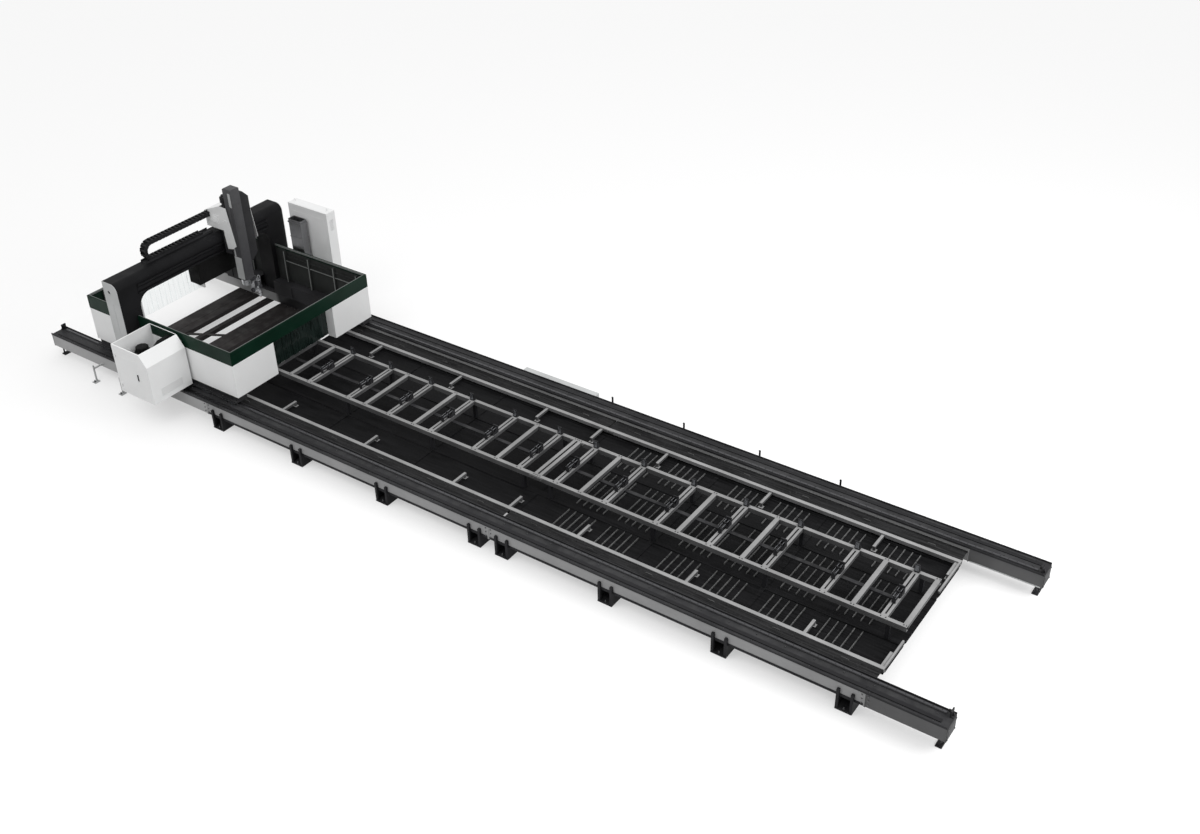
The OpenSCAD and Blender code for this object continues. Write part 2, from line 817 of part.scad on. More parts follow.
module fixed_stops() {
    color([0.09, 0.09, 0.1]) for (c = centres, s = jaw_steps) stop(c + s * clamp_pitch);
}

// Clamp jaw: base, gripping plate, two gussets, clamping screw and the stem through the slot
module jaw(x) {
    w = jaw_width / 2;
    z = ladder_top + jaw_lift;
    y1 = jaw_face_y;
    y0 = y1 - jaw_depth;
    zt = ladder_top + jaw_height;
    s = jaw_slot / 2 - jaw_clearance;
    blk(x - w, x + w, y0, y1, z, z + jaw_base);
    blk(x - w, x + w, y1 - jaw_plate, y1, z, zt);
    blk(x - w + 12, x + w - 12, y1, y1 + 5, z + 30, zt - 6);
    for (e = [-w, w - 10])
        along_x(x + e, x + e + 10) polygon([
            [y0 + 12, z + jaw_base], [y1 - jaw_plate, z + jaw_base],
            [y1 - jaw_plate, zt - 20]
        ]);
    translate([x, y1 - jaw_plate - 60, z + jaw_base + 38]) rotate([-90, 0, 0])
        cylinder(h = 60, r = 9);
    translate([x, y1 - jaw_plate - 34, z + jaw_base + 38]) rotate([-90, 0, 0])
        cylinder(h = 16, r = 16, $fn = 6);
    blk(x - s, x + s, stem_y0, stem_y0 + 60, bar_top - tie_height, z);
}

// The jaws of one module with the tie bar that moves them together
module jaw_set(c) {
    for (s = jaw_steps) jaw(c + s * clamp_pitch);
    blk(c - 3 * clamp_pitch - 30, c + 3 * clamp_pitch + 30, stem_y0, stem_y0 + 60,
        bar_top - tie_height, bar_top);
}

module jaws_left() {
    color([0.1, 0.1, 0.11]) jaw_set(centres[0]);
}

module jaws_right() {
    color([0.1, 0.1, 0.11]) jaw_set(centres[1]);
}

module chain_trough() {
    t = sheet_thickness;
    y1 = trough_y0 + trough_width;
    color([0.16, 0.16, 0.17]) along_x(rail_start + trough_back, bed_end - 50) {
        rect(trough_y0, y1, trough_z, trough_z + t);
        rect(trough_y0, trough_y0 + t, trough_z, trough_z + trough_height);
        rect(y1 - t, y1, trough_z, trough_z + trough_height);
    }
}

// Brackets under the trough, and hooked posts on some of them that guide the chain's side
module trough_brackets() {
    y1 = trough_y0 + trough_width;
    z1 = trough_z + hook_height;
    w = bracket_width / 2;
    color([0.12, 0.12, 0.13]) {
        for (x = bracket_x) blk(x - w, x + w, outer_y, y1 + 12, trough_z - 24, trough_z);
        for (k = [5 : 8]) {
            x = bracket_x[k];
            blk(x - w, x + w, y1, y1 + 12, trough_z, z1);
            blk(x - w, x + w, y1 - hook_tip, y1, z1 - 10, z1);
        }
    }
}

module junction_box() {
    z = trough_z + trough_height;
    x0 = bed_mid - junction_back;
    x1 = x0 + junction_length;
    t = 10;
    color([0.72, 0.73, 0.73]) difference() {
        blk(x0, x1, trough_y0, trough_y0 + trough_width, z, z + junction_height);
        blk(x0 + t, x1 - t, trough_y0 + t, trough_y0 + trough_width - t, z - 1,
            z + junction_height - t);
    }
}

// Chain bend as a half ring, drawn in a plane whose first axis points away from the bend
module bend_2d(r, h) {
    intersection() {
        difference() {
            circle(r = r + h / 2, $fn = 96);
            circle(r = r - h / 2, $fn = 96);
        }
        rect(-r - h, 0, -r - h, r + h);
    }
}

module x_chain() {
    h = link_height / 2;
    z0 = chain_axis_z - chain_radius;
    z1 = chain_axis_z + chain_radius;
    w = chain_width / 2;
    color([0.06, 0.06, 0.06]) difference() {
        along_y(chain_y - w, chain_y + w) {
            rect(chain_bend, chain_x1, z0 - h, z0 + h);
            rect(chain_bend, chain_end, z1 - h, z1 + h);
            translate([chain_bend, chain_axis_z]) bend_2d(chain_radius, link_height);
        }
        for (i = [1 : floor((chain_x1 - chain_bend) / link_pitch) - 1])
            blk(chain_bend + i * link_pitch, chain_bend + i * link_pitch + 6,
                chain_y - w - 1, chain_y + w + 1, z0 + h - 5, z0 + h + 1);
        for (i = [1 : 4])
            blk(chain_bend + i * link_pitch, chain_bend + i * link_pitch + 6,
                chain_y - w - 1, chain_y + w + 1, z1 + h - 5, z1 + h + 1);
    }
}

module base_plates() {
    y2 = portal_half + 5;
    color([0.13, 0.13, 0.14]) {
        both() {
            blk(hood_x0, hood_x1, truck_inner, truck_outer, base_z0, base_z1);
            blk(foot_x0, foot_x1, truck_outer, y2, base_z0, base_z1);
            blk(foot_x0 + 60, portal_front + 200, gy + track_offset - 38,
                gy + track_offset + 38, deck_z + track_thickness + 4, base_z0);
        }
        for (x = [near_front - near_length + 90, near_front - 150])
            blk(x, x + 60, -near_outer + 50, -truck_outer, arm_z0, arm_z1);
        for (x = [far_front - far_length + 90, far_front - 150])
            blk(x, x + 60, truck_outer, far_inner + far_depth - 50, arm_z0, arm_z1);
        blk(chain_end - 38, chain_end + 62, y2, chain_y + chain_width / 2, base_z0, base_z1);
        blk(chain_end, chain_end + 10, y2 + 15, chain_y + chain_width / 2, base_z1,
            chain_axis_z + chain_radius + link_height / 2);
    }
}

// Side beams on the base plates, open towards the portal's legs
module side_beams() {
    w = truck_wall;
    color([0.14, 0.14, 0.15]) both() {
        tube_x(hood_x0 + w, portal_back, truck_inner, wall_in, base_z1, truck_top, w);
        blk(hood_x0, hood_x0 + w, truck_inner, wall_in, base_z1, truck_top);
        tube_x(portal_front, hood_x1 - w, truck_inner, wall_in, base_z1, truck_top, w);
        blk(hood_x1 - w, hood_x1, truck_inner, wall_in, base_z1, truck_top);
    }
}

block_x = [
    hood_x0 + 200, portal_back + 170, portal_front + 670, portal_front + 1470, hood_x1 - 150
];

module guide_blocks() {
    c = guide_width / 2 + block_clearance;
    b = block_width / 2;
    l = block_length / 2;
    color([0.5, 0.51, 0.53]) both() for (x = block_x)
        along_x(x - l, x + l) translate([guide_y, 0]) difference() {
            rect(-b, b, deck_z + 4, base_z0);
            rect(-c, c, deck_z, lip_z + block_clearance);
        }
}

// Front view of the portal: a square frame with rounded inner corners
module portal_front_view() {
    r = arch_round;
    difference() {
        rect(-portal_half, portal_half, base_z1, portal_top);
        rect(-arch_half, arch_half, base_z1 - 1, arch_top - r);
        rect(-arch_half + r, arch_half - r, arch_top - r - 1, arch_top);
        for (s = [-1, 1]) translate([s * (arch_half - r), arch_top - r]) circle(r = r);
    }
}

// Side view of the portal: square at the back, rounded at the top of the front
module portal_side_view(z0) {
    r = portal_round;
    rect(portal_back, portal_front, z0, portal_top - r);
    rect(portal_back, portal_front - r, portal_top - r - 1, portal_top);
    translate([portal_front - r, portal_top - r]) circle(r = r);
}

module portal() {
    color([0.05, 0.05, 0.05]) intersection() {
        along_x(portal_back, portal_front) portal_front_view();
        along_y(-portal_half, portal_half) portal_side_view(base_z1);
    }
}

module leg_cheeks() {
    color([0.62, 0.64, 0.64]) both() difference() {
        along_y(portal_half, portal_half + cheek_thickness) portal_side_view(base_z1 + 40);
        translate([portal_back + 142, portal_half - 1, portal_top - 173]) rotate([-90, 0, 0])
            cylinder(h = cheek_thickness + 2, r = lift_hole_radius);
    }
}

yg = [arch_top + 40, arch_top + 180];

module y_guides() {
    x = portal_front;
    color([0.1, 0.1, 0.11]) {
        for (z = yg)
            blk(x, x + guide_height, -arch_half + 10, arch_half - 10, z - guide_width / 2,
                z + guide_width / 2);
        blk(x, x + 10, -arch_half + 10, arch_half - 10, arch_top + 84, arch_top + 136);
    }
}

module beam_tray() {
    x0 = beam_chain_x - beam_chain_width / 2 - 14;
    x1 = beam_chain_x + beam_chain_width / 2 + 14;
    t = sheet_thickness;
    color([0.7, 0.71, 0.71]) along_y(beam_tray_near, beam_tray_far) {
        rect(x0, x1, portal_top, portal_top + t);
        rect(x0, x0 + t, portal_top, portal_top + 36);
        rect(x1 - t, x1, portal_top, portal_top + 36);
    }
}

module y_chain() {
    h = beam_link / 2;
    z0 = beam_chain_z - beam_chain_radius;
    z1 = beam_chain_z + beam_chain_radius;
    w = beam_chain_width / 2;
    y_end = saddle_near - 12;
    color([0.06, 0.06, 0.06]) difference() {
        along_x(beam_chain_x - w, beam_chain_x + w) {
            rect(beam_bend_y, 200, z0 - h, z0 + h);
            rect(beam_bend_y, y_end, z1 - h, z1 + h);
            translate([beam_bend_y, beam_chain_z]) bend_2d(beam_chain_radius, beam_link);
        }
        for (i = [1 : floor((y_end - beam_bend_y) / link_pitch) - 1])
            blk(beam_chain_x - w - 1, beam_chain_x + w + 1, beam_bend_y + i * link_pitch,
                beam_bend_y + i * link_pitch + 6, z1 + h - 5, z1 + h + 1);
    }
}

module duct_box() {
    x1 = portal_front - 90;
    w = 6;
    color([0.03, 0.03, 0.03]) difference() {
        blk(portal_back, x1, -150, -150 + duct_length, arch_top - duct_height, arch_top);
        blk(portal_back + w, x1 - w, -150 + w, -150 + duct_length - w,
            arch_top - duct_height - 1, arch_top - w);
    }
}

module side_panels() {
    color([0.86, 0.87, 0.87]) both() {
        blk(hood_x0 + seam, portal_back - 10, wall_in, hood_half_width, panel_bottom,
            band_bottom);
        blk(portal_front + 10, hood_x1 - seam, wall_in, hood_half_width, panel_bottom,
            band_bottom);
    }
}

// End panel with its return beside the opening, drawn for the front
module end_panel(y0, y1, ret) {
    blk(hood_x1, hood_front, y0, y1, panel_bottom, band_bottom);
    blk(hood_x1 - return_depth, hood_x1, ret, ret + panel_thickness, panel_bottom,
        band_bottom);
}

module end_panels() {
    mid = (hood_back + hood_front) / 2;
    color([0.86, 0.87, 0.87]) for (m = [0, 1])
        translate([m * 2 * mid, 0, 0]) mirror([m, 0, 0]) {
            end_panel(-hood_half_width, opening_near, opening_near - panel_thickness);
            end_panel(opening_far, hood_half_width, opening_far);
        }
}

module rim_band() {
    color([0.02, 0.1, 0.07]) {
        blk(hood_x1, hood_front, -hood_half_width, hood_half_width, band_bottom, rim_height);
        blk(hood_back, hood_x0, -hood_half_width, hood_half_width, band_bottom, rim_height);
        both() {
            blk(hood_x0 + seam, portal_back - 10, wall_in, hood_half_width, band_bottom,
                rim_height);
            blk(portal_front + 10, hood_x1 - seam, wall_in, hood_half_width, band_bottom,
                rim_height);
        }
    }
}

module inner_lining() {
    z1 = lining_top;
    rib_x = [
        hood_x0 + 270, hood_x0 + 670, portal_front + 270, portal_front + 880,
        portal_front + 1510, hood_x1 - 164
    ];
    color([0.2, 0.2, 0.21]) both() {
        blk(hood_x0 + 20, portal_back - 20, wall_in - 10, wall_in, truck_top, z1);
        blk(portal_front + 20, hood_x1 - 20, wall_in - 10, wall_in, truck_top, z1);
        for (x = rib_x) blk(x - 20, x + 20, wall_in - 50, wall_in - 10, truck_top, z1);
        blk(rib_x[2] + 20, rib_x[5] - 20, wall_in - 30, wall_in - 10, z1 - 110, z1 - 90);
    }
}

module curtain_rails() {
    x = hood_x1 - return_depth;
    xr = hood_x0 + return_depth;
    color([0.1, 0.1, 0.1]) {
        blk(x + 4, x + 24, opening_near, opening_far, curtain_top, curtain_top + 30);
        blk(xr - 24, xr - 4, opening_near, opening_far, curtain_top, curtain_top + 30);
    }
}

module curtain_strips() {
    step = (opening_far - opening_near - 10) / strip_count;
    color([0.02, 0.06, 0.05]) for (x = [hood_x1 - return_depth + 12, hood_x0 + return_depth - 16])
        for (i = [0 : strip_count - 1])
            blk(x, x + 4, opening_near + 5 + i * step + 2, opening_near + 5 + (i + 1) * step - 2,
                curtain_bottom, curtain_top);
}

// Hinge halves: a fixed knuckle with its pin, and the bored knuckle on the door
module pin_knuckle(x, y, z, out) {
    translate([x, y, z]) cylinder(h = 39.5, r = knuckle_radius);
    translate([x, y, z + 39]) cylinder(h = 40, r = pin_radius);
    blk(x - 40, x, min(y, y + out), max(y, y + out), z, z + 39.5);
}

module bored_knuckle(x, y, z, out) {
    difference() {
        union() {
            translate([x, y, z + 40]) cylinder(h = 39, r = knuckle_radius);
            blk(x, x + 40, min(y, y + out), max(y, y + out), z + 40, z + 79);
        }
        translate([x, y, z + 39]) cylinder(h = 42, r = pin_radius + pin_clearance);
    }
}

near_x0 = near_front - near_length;
near_door_z = [arm_z1 + door_border, near_top - door_border - 20];
near_door_x = [near_x0 + door_border, near_front - 225];
near_pin = [near_door_x[0] - 6, -near_outer - 8];

module near_profile(o) {
    polygon([
        [near_x0 + o, arm_z1 + o], [near_front - o, arm_z1 + o],
        [near_front - o, near_shoulder - o * 0.3], [near_front - near_slope - o * 0.6,
        near_top - o], [near_x0 + o, near_top - o]
    ]);
}

module near_cabinet() {
    color([0.87, 0.88, 0.88]) {
        difference() {
            along_y(-near_outer, -cabinet_inner) near_profile(0);
            along_y(-near_outer + cabinet_wall, -cabinet_inner - cabinet_wall)
                near_profile(cabinet_wall);
            blk(near_door_x[0], near_door_x[1], -near_outer - 1, -near_outer + 21,
                near_door_z[0], near_door_z[1]);
            blk(near_x0 + cabinet_wall, near_front - near_slope - cabinet_wall,
                -near_outer + cabinet_wall, -cabinet_inner - cabinet_wall,
                near_top - cabinet_wall - 1, near_top + 1);
            blk(near_x0 + cabinet_wall, near_front - near_slope - cabinet_wall,
                -cabinet_inner - cabinet_wall - 1, -cabinet_inner + 1, near_inner_top,
                near_top + 1);
            for (i = [0 : 5])
                blk(near_front - 21, near_front + 1, -near_outer + 180, -near_outer + 620,
                    arm_z1 + 90 + i * 24, arm_z1 + 98 + i * 24);
        }
        for (z = [near_door_z[0] + 60, near_door_z[1] - 140])
            pin_knuckle(near_pin[0], near_pin[1], z, 8);
    }
}

module near_door() {
    g = door_gap;
    x1 = near_door_x[1] - g;
    color([0.86, 0.87, 0.87]) {
        difference() {
            blk(near_door_x[0] + g, x1, -near_outer, -near_outer + door_thickness,
                near_door_z[0] + g, near_door_z[1] - g);
            blk(x1 - 80, x1 - 40, -near_outer - 1, -near_outer + 8, 900, 1040);
        }
        for (z = [near_door_z[0] + 60, near_door_z[1] - 140])
            bored_knuckle(near_pin[0], near_pin[1], z, 8);
    }
}

// Mounting plates and the modules on them, inside both cabinets
module cabinet_gear() {
    z0 = arm_z1 + cabinet_wall;
    yb = -cabinet_inner - cabinet_wall;
    yf = far_inner + cabinet_wall;
    color([0.45, 0.46, 0.47]) {
        blk(near_x0 + 60, near_front - 180, yb - 30, yb, z0 + 60, near_inner_top - 20);
        blk(near_x0 + 100, near_x0 + 300, yb - 190, yb - 30, z0 + 120, z0 + 420);
        blk(near_x0 + 330, near_x0 + 500, yb - 150, yb - 30, z0 + 120, z0 + 330);
        blk(far_x0 + 60, far_front - 60, yf, yf + 10, z0 + 80, far_top - 90);
        blk(far_x0 + 110, far_front - 500, yf + 10, yf + 90, z0 + 160, z0 + 700);
        blk(far_front - 440, far_front - 120, yf + 10, yf + 90, z0 + 160, z0 + 560);
        blk(far_x0 + 110, far_front - 120, yf + 10, yf + 70, z0 + 900, z0 + 1300);
    }
}

far_x0 = far_front - far_length;
far_outer = far_inner + far_depth;
far_door_x = [far_x0 + door_border, far_front - door_border];
far_door_z = [arm_z1 + door_border, far_top - door_border];
far_pin = [far_door_x[0] - 6, far_outer + 8];

module far_cabinet() {
    w = cabinet_wall;
    color([0.87, 0.88, 0.88]) {
        difference() {
            blk(far_x0, far_front, far_inner, far_outer, arm_z1, far_top);
            blk(far_x0 + w, far_front - w, far_inner + w, far_outer - w, arm_z1 + w,
                far_top - w);
            blk(far_door_x[0], far_door_x[1], far_outer - 21, far_outer + 1, far_door_z[0],
                far_door_z[1]);
            for (i = [0 : 7])
                blk(far_front - 21, far_front + 1, far_inner + 60, far_outer - 60,
                    far_top - 350 + i * 26, far_top - 341 + i * 26);
        }
        for (z = [far_door_z[0] + 80, far_door_z[1] - 160])
            pin_knuckle(far_pin[0], far_pin[1], z, -8);
    }
}

module far_door() {
    g = door_gap;
    x1 = far_door_x[1] - g;
    color([0.86, 0.87, 0.87]) {
        difference() {
            blk(far_door_x[0] + g, x1, far_outer - door_thickness, far_outer,
                far_door_z[0] + g, far_door_z[1] - g);
            blk(x1 - 80, x1 - 40, far_outer - 8, far_outer + 1, 1250, 1400);
        }
        for (z = [far_door_z[0] + 80, far_door_z[1] - 160])
            bored_knuckle(far_pin[0], far_pin[1], z, -8);
    }
}

// Square riser that draws the fumes off, with a flange near its open top
module extraction_riser() {
    x1 = far_front - riser_place;
    x0 = x1 - riser_width;
    y0 = hood_half_width + 43;
    y1 = y0 + riser_depth;
    z0 = arm_z1 + 20;
    t = sheet_thickness;
    color([0.5, 0.5, 0.51]) {
        difference() {
            blk(x0, x1, y0, y1, z0, riser_top);
            blk(x0 + t, x1 - t, y0 + t, y1 - t, z0 + t, riser_top + 1);
        }
        translate([0, 0, riser_top - 70]) linear_extrude(24) difference() {
            rect(x0 - 12, x1 + 12, y0 - 12, y1 + 12);
            rect(x0, x1, y0, y1);
        }
        blk(far_x0 + 90, far_front - 90, y0, y1, arm_z1, z0);
    }
}

sp_x0 = portal_front + guide_height + 14;
sp_x1 = sp_x0 + 30;
sy0 = saddle_near + cover_wall;
sy1 = saddle_near + cover_width - cover_wall;
column_top = cover_top - 14;
column_front = ram_back - z_guide_depth - 20;

module saddle_blocks() {
    c = guide_width / 2 + block_clearance;
    x0 = portal_front + 6;
    color([0.5, 0.51, 0.53]) for (z = yg, y = [sy0 + 90, sy1 - 90])
        along_y(y - 60, y + 60) difference() {
            rect(x0, sp_x0, z - 38, z + 38);
            rect(x0 - 1, portal_front + guide_height + block_clearance, z - c, z + c);
        }
}

// Plate on the guide blocks, the column in front of it and the ram's own guide blocks
module saddle_plate() {
    c = z_guide_width / 2 + block_clearance;
    color([0.12, 0.12, 0.13]) {
        blk(sp_x0, sp_x1, sy0, sy1, arch_top - 20, portal_top + 90);
        blk(sp_x1, column_front, ram_near, ram_near + ram_size, arch_top - 20, column_top);
        for (z = [arch_top + 100, arch_top + 600], y = [ram_y - 60, ram_y + 60])
            difference() {
                blk(column_front, ram_back - 6, y - 30, y + 30, z, z + 110);
                blk(ram_back - z_guide_depth - block_clearance, ram_back, y - c, y + c,
                    z - 1, z + 111);
            }
    }
}

// Side view of the cover over the cross slide
cover_low = portal_top + 80;
cover_side = [
    [saddle_back, cover_low], [saddle_back, cover_back_top], [sp_x1 - 7, cover_top],
    [ram_back + 20, cover_top], [ram_front - 70, arch_top + 180],
    [ram_front - 168, arch_top + 106], [sp_x1 + 50, arch_top + 80],
    [sp_x1 + 20, portal_top - 15], [sp_x1 + 20, cover_low]
];

module saddle_cover() {
    y1 = saddle_near + cover_width;
    w = cover_wall;
    color([0.88, 0.89, 0.89]) {
        for (y = [saddle_near, y1 - w]) along_y(y, y + w) polygon(cover_side);
        along_y(saddle_near + w, y1 - w) polygon([
            [saddle_back, cover_low], [saddle_back, cover_back_top], [sp_x1 - 7, cover_top],
            [sp_x1 - 2, cover_top], [sp_x1 - 2, cover_top - w], [sp_x1 - 6, cover_top - w],
            [saddle_back + w, cover_back_top - w], [saddle_back + w, cover_low]
        ]);
    }
}

// Drive for the ram on the column's head plate, and the chain's end bracket
module z_drive() {
    xm = (sp_x1 + column_front) / 2;
    ym = saddle_near + 90;
    color([0.14, 0.14, 0.15]) {
        blk(sp_x1, column_front, sy0, sy1, column_top, cover_top);
        translate([xm, ym, cover_top]) cylinder(h = 50, r = 46);
        blk(xm - 44, xm + 44, ym - 44, ym + 44, cover_top + 50, cover_top + 170);
        blk(xm - 30, xm + 30, ym + 44, ym + 84, cover_top + 70, cover_top + 110);
        blk(beam_chain_x - 65, beam_chain_x + 65, saddle_near - 12, saddle_near,
            beam_chain_z + beam_chain_radius - beam_link / 2 - 6, cover_back_top - 10);
    }
}

module ram() {
    w = 16;
    color([0.27, 0.27, 0.28]) difference() {
        blk(ram_back, ram_front, ram_near, ram_near + ram_size, ram_bottom, ram_top);
        blk(ram_back + w, ram_front - w, ram_near + w, ram_near + ram_size - w,
            ram_bottom + 30, ram_top - 12);
    }
}

module z_guides() {
    w = z_guide_width / 2;
    color([0.6, 0.61, 0.63]) for (y = [ram_y - 60, ram_y + 60])
        blk(ram_back - z_guide_depth, ram_back, y - w, y + w, ram_bottom + 2, ram_top - 30);
}

// Stepped cover for the ram's cables and hoses
module ram_side_cover() {
    y0 = ram_near + ram_size;
    y1 = y0 + side_cover_width;
    color([0.13, 0.13, 0.14]) along_x(ram_back + 20, ram_front - 20) polygon([
        [y0, ram_bottom + 300], [y0, ram_top - 110], [y0 + 80, ram_top - 110],
        [y1, ram_top - 230], [y1, ram_bottom + 420], [y0 + 60, ram_bottom + 300]
    ]);
}

module ram_plate() {
    color([0.6, 0.61, 0.62]) blk(ram_back + 15, ram_front - 15, ram_near - 6, ram_near,
        ram_bottom + 8, ram_bottom + 440);
}

module head_swivel() {
    zc = swivel_top;
    y2 = ram_y + 165;
    color([0.68, 0.69, 0.7]) {
        translate([ram_x, ram_y, swivel_bottom + 24]) cylinder(h = swivel_height - 24,
            r = swivel_radius);
        translate([ram_x, ram_y, swivel_bottom]) cylinder(h = 24, r = swivel_radius - 12);
        blk(ram_x - 48, ram_x + 48, ram_y, y2, swivel_bottom + 10, swivel_bottom + 100);
        blk(ram_x - 48, ram_x + 48, y2 - 55, y2, tilt_height, swivel_bottom + 100);
        translate([ram_x, y2, tilt_height]) rotate([90, 0, 0]) cylinder(h = 55, r = 48);
    }
}

module head_tilt() {
    y2 = ram_y + 165.4;
    z0 = tip_height + 68;
    color([0.74, 0.75, 0.76]) {
        translate([ram_x, y2, tilt_height]) rotate([-90, 0, 0]) cylinder(h = 30,
            r = hub_radius);
        blk(ram_x - 34, ram_x + 34, y2 + 28, head_y, tilt_height - 44, tilt_height + 44);
        translate([ram_x, head_y, z0]) cylinder(h = 290, r = barrel_radius);
        translate([ram_x, head_y, z0 + 290]) cylinder(h = 26, r = barrel_radius - 12);
        translate([ram_x, head_y, z0 + 60]) cylinder(h = 16, r = barrel_radius + 5);
        translate([ram_x, head_y, z0 - 40]) cylinder(h = 40, r = barrel_radius - 14);
    }
}

module nozzle() {
    z0 = tip_height;
    color([0.72, 0.45, 0.2]) translate([ram_x, head_y, z0]) difference() {
        union() {
            cylinder(h = 14, r1 = 4, r2 = 10);
            translate([0, 0, 14]) cylinder(h = 14, r = 15);
        }
        translate([0, 0, -1]) cylinder(h = 40, r = nozzle_radius);
    }
}

rail_girders();
end_girders();
rail_caps();
x_guides();
x_tracks();
rail_feet();
slim_feet();
end_stands();
end_stops();
bumpers();
cross_ties();
bed_crossbeams();
edge_tubes();
ladder_tubes();
plain_members();
clamp_members();
cover_sheets();
side_trays();
middle_trays();
tray_ribs();
fixed_stops();
chain_trough();
trough_brackets();
junction_box();
x_chain();
jaws_left();
jaws_right();
base_plates();
side_beams();
guide_blocks();
portal();
leg_cheeks();
y_guides();
beam_tray();
y_chain();
duct_box();
side_panels();
end_panels();
rim_band();
inner_lining();
curtain_rails();
curtain_strips();
near_cabinet();
near_door();
cabinet_gear();
far_cabinet();
far_door();
extraction_riser();
saddle_blocks();
saddle_plate();
saddle_cover();
z_drive();
ram();
ram_side_cover();
ram_plate();
z_guides();
head_swivel();
head_tilt();
nozzle();
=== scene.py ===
"""Looks of the gantry cutting line: finishes, small fittings, cables and the studio around it."""

import json
import math
import random
from itertools import product

import bpy
from mathutils import Matrix, Vector


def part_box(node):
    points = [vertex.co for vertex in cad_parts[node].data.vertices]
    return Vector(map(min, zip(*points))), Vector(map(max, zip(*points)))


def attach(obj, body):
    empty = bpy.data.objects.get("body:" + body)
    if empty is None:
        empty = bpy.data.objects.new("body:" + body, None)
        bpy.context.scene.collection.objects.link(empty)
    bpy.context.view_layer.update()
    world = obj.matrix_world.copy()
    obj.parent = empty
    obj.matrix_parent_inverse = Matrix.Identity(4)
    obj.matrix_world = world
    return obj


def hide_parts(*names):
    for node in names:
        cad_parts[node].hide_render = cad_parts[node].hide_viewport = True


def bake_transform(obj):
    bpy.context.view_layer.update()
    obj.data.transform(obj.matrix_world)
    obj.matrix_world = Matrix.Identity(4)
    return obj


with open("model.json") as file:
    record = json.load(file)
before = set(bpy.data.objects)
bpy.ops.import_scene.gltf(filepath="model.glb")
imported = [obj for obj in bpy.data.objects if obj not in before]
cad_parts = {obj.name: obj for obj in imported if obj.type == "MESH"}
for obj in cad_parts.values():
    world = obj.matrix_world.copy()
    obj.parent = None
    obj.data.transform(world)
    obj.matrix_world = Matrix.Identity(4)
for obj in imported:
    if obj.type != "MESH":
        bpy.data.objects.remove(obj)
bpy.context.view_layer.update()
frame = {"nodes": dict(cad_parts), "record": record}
NODES = frame["nodes"]
BOX = {name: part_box(name) for name in NODES}
rng = random.Random(7)

# Camera of the photograph, in metres in the row frame
CAMERA_AT = Vector((11.800, -13.440, 12.787))
CAMERA_DIRECTION = Vector((-0.47920, 0.67460, -0.56149))
CAMERA_ROLL = math.radians(-1.287)
CAMERA_LENS = 40.67
SENSOR = 36.0
CLIP_END = 200
UP = (0, 0, 1)

# Studio
SKY_ZENITH = 1.32
SKY_HORIZON = 0.30
SKY_FADE = 0.9
FLOOR_ALBEDO = 0.55
FLOOR_HALF = 120.0
FLOOR_DROP = 0.001

# Dark paint mirrors less of the white room
GLOSS = 0.3
DARK_BELOW = 0.06
DARK_GLOSS = 0.1
PLASTIC_GLOSS = 0.15
DUST = (0.30, 0.30, 0.29)


# Studio, camera and light


def setup(target, **settings):
    for key, value in settings.items():
        setattr(target, key, value)
    return target


def new_object(name, data):
    obj = bpy.data.objects.new(name, data)
    bpy.context.scene.collection.objects.link(obj)
    return obj


def make_camera():
    cam = new_object("camera", setup(bpy.data.cameras.new("camera"), lens=CAMERA_LENS,
                                     sensor_width=SENSOR, clip_end=CLIP_END))
    forward = CAMERA_DIRECTION.normalized()
    right = forward.cross(Vector(UP)).normalized()
    up = right.cross(forward)
    c, s = math.cos(CAMERA_ROLL), math.sin(CAMERA_ROLL)
    right, up = right * c + up * s, up * c - right * s
    turn = Matrix((right, up, -forward)).transposed().to_4x4()
    cam.matrix_world = Matrix.Translation(CAMERA_AT) @ turn
    bpy.context.scene.camera = cam


def node(tree, kind, inputs=None, **settings):
    """Outputs of a new shader node. An input is a plain value or the socket that feeds it."""
    made = setup(tree.nodes.new("ShaderNode" + kind), **settings)
    for key, value in (inputs or {}).items():
        if isinstance(value, bpy.types.NodeSocket):
            tree.links.new(value, made.inputs[key])
        else:
            made.inputs[key].default_value = value
    return made.outputs


def seen_directly(tree):
    """1 for camera, glossy and transmission rays, 0 for the rays that light the object."""
    seen = node(tree, "LightPath")
    first = node(tree, "Math", {0: seen["Is Camera Ray"], 1: seen["Is Glossy Ray"]},
                 operation="MAXIMUM")
    return node(tree, "Math", {0: first[0], 1: seen["Is Transmission Ray"]},
                operation="MAXIMUM")[0]


def empty_tree(owner):
    owner.use_nodes = True
    owner.node_tree.nodes.clear()
    return owner.node_tree


def make_world():
    world = bpy.data.worlds.new("studio")
    bpy.context.scene.world = world
    tree = empty_tree(world)
    height = node(tree, "SeparateXYZ", {0: node(tree, "TexCoord")["Generated"]})["Z"]
    sky = node(tree, "MapRange", {"Value": height, "From Min": 0.0, "From Max": SKY_FADE,
                                  "To Min": SKY_HORIZON, "To Max": SKY_ZENITH},
               interpolation_type="SMOOTHSTEP")
    light = node(tree, "Background", {"Strength": sky["Result"]})
    white = node(tree, "Background", {"Strength": 1.0})
    mix = node(tree, "MixShader", {0: seen_directly(tree), 1: light[0], 2: white[0]})
    node(tree, "OutputWorld", {"Surface": mix[0]})


def area_light(name, at, aim, size, watts):
    data = setup(bpy.data.lights.new(name, "AREA"), shape="DISK", size=size, energy=watts)
    aim = (Vector(aim) - Vector(at)).to_track_quat("-Z", "Y")
    setup(new_object(name, data), location=at, rotation_mode="QUATERNION",
          rotation_quaternion=aim, visible_glossy=False)


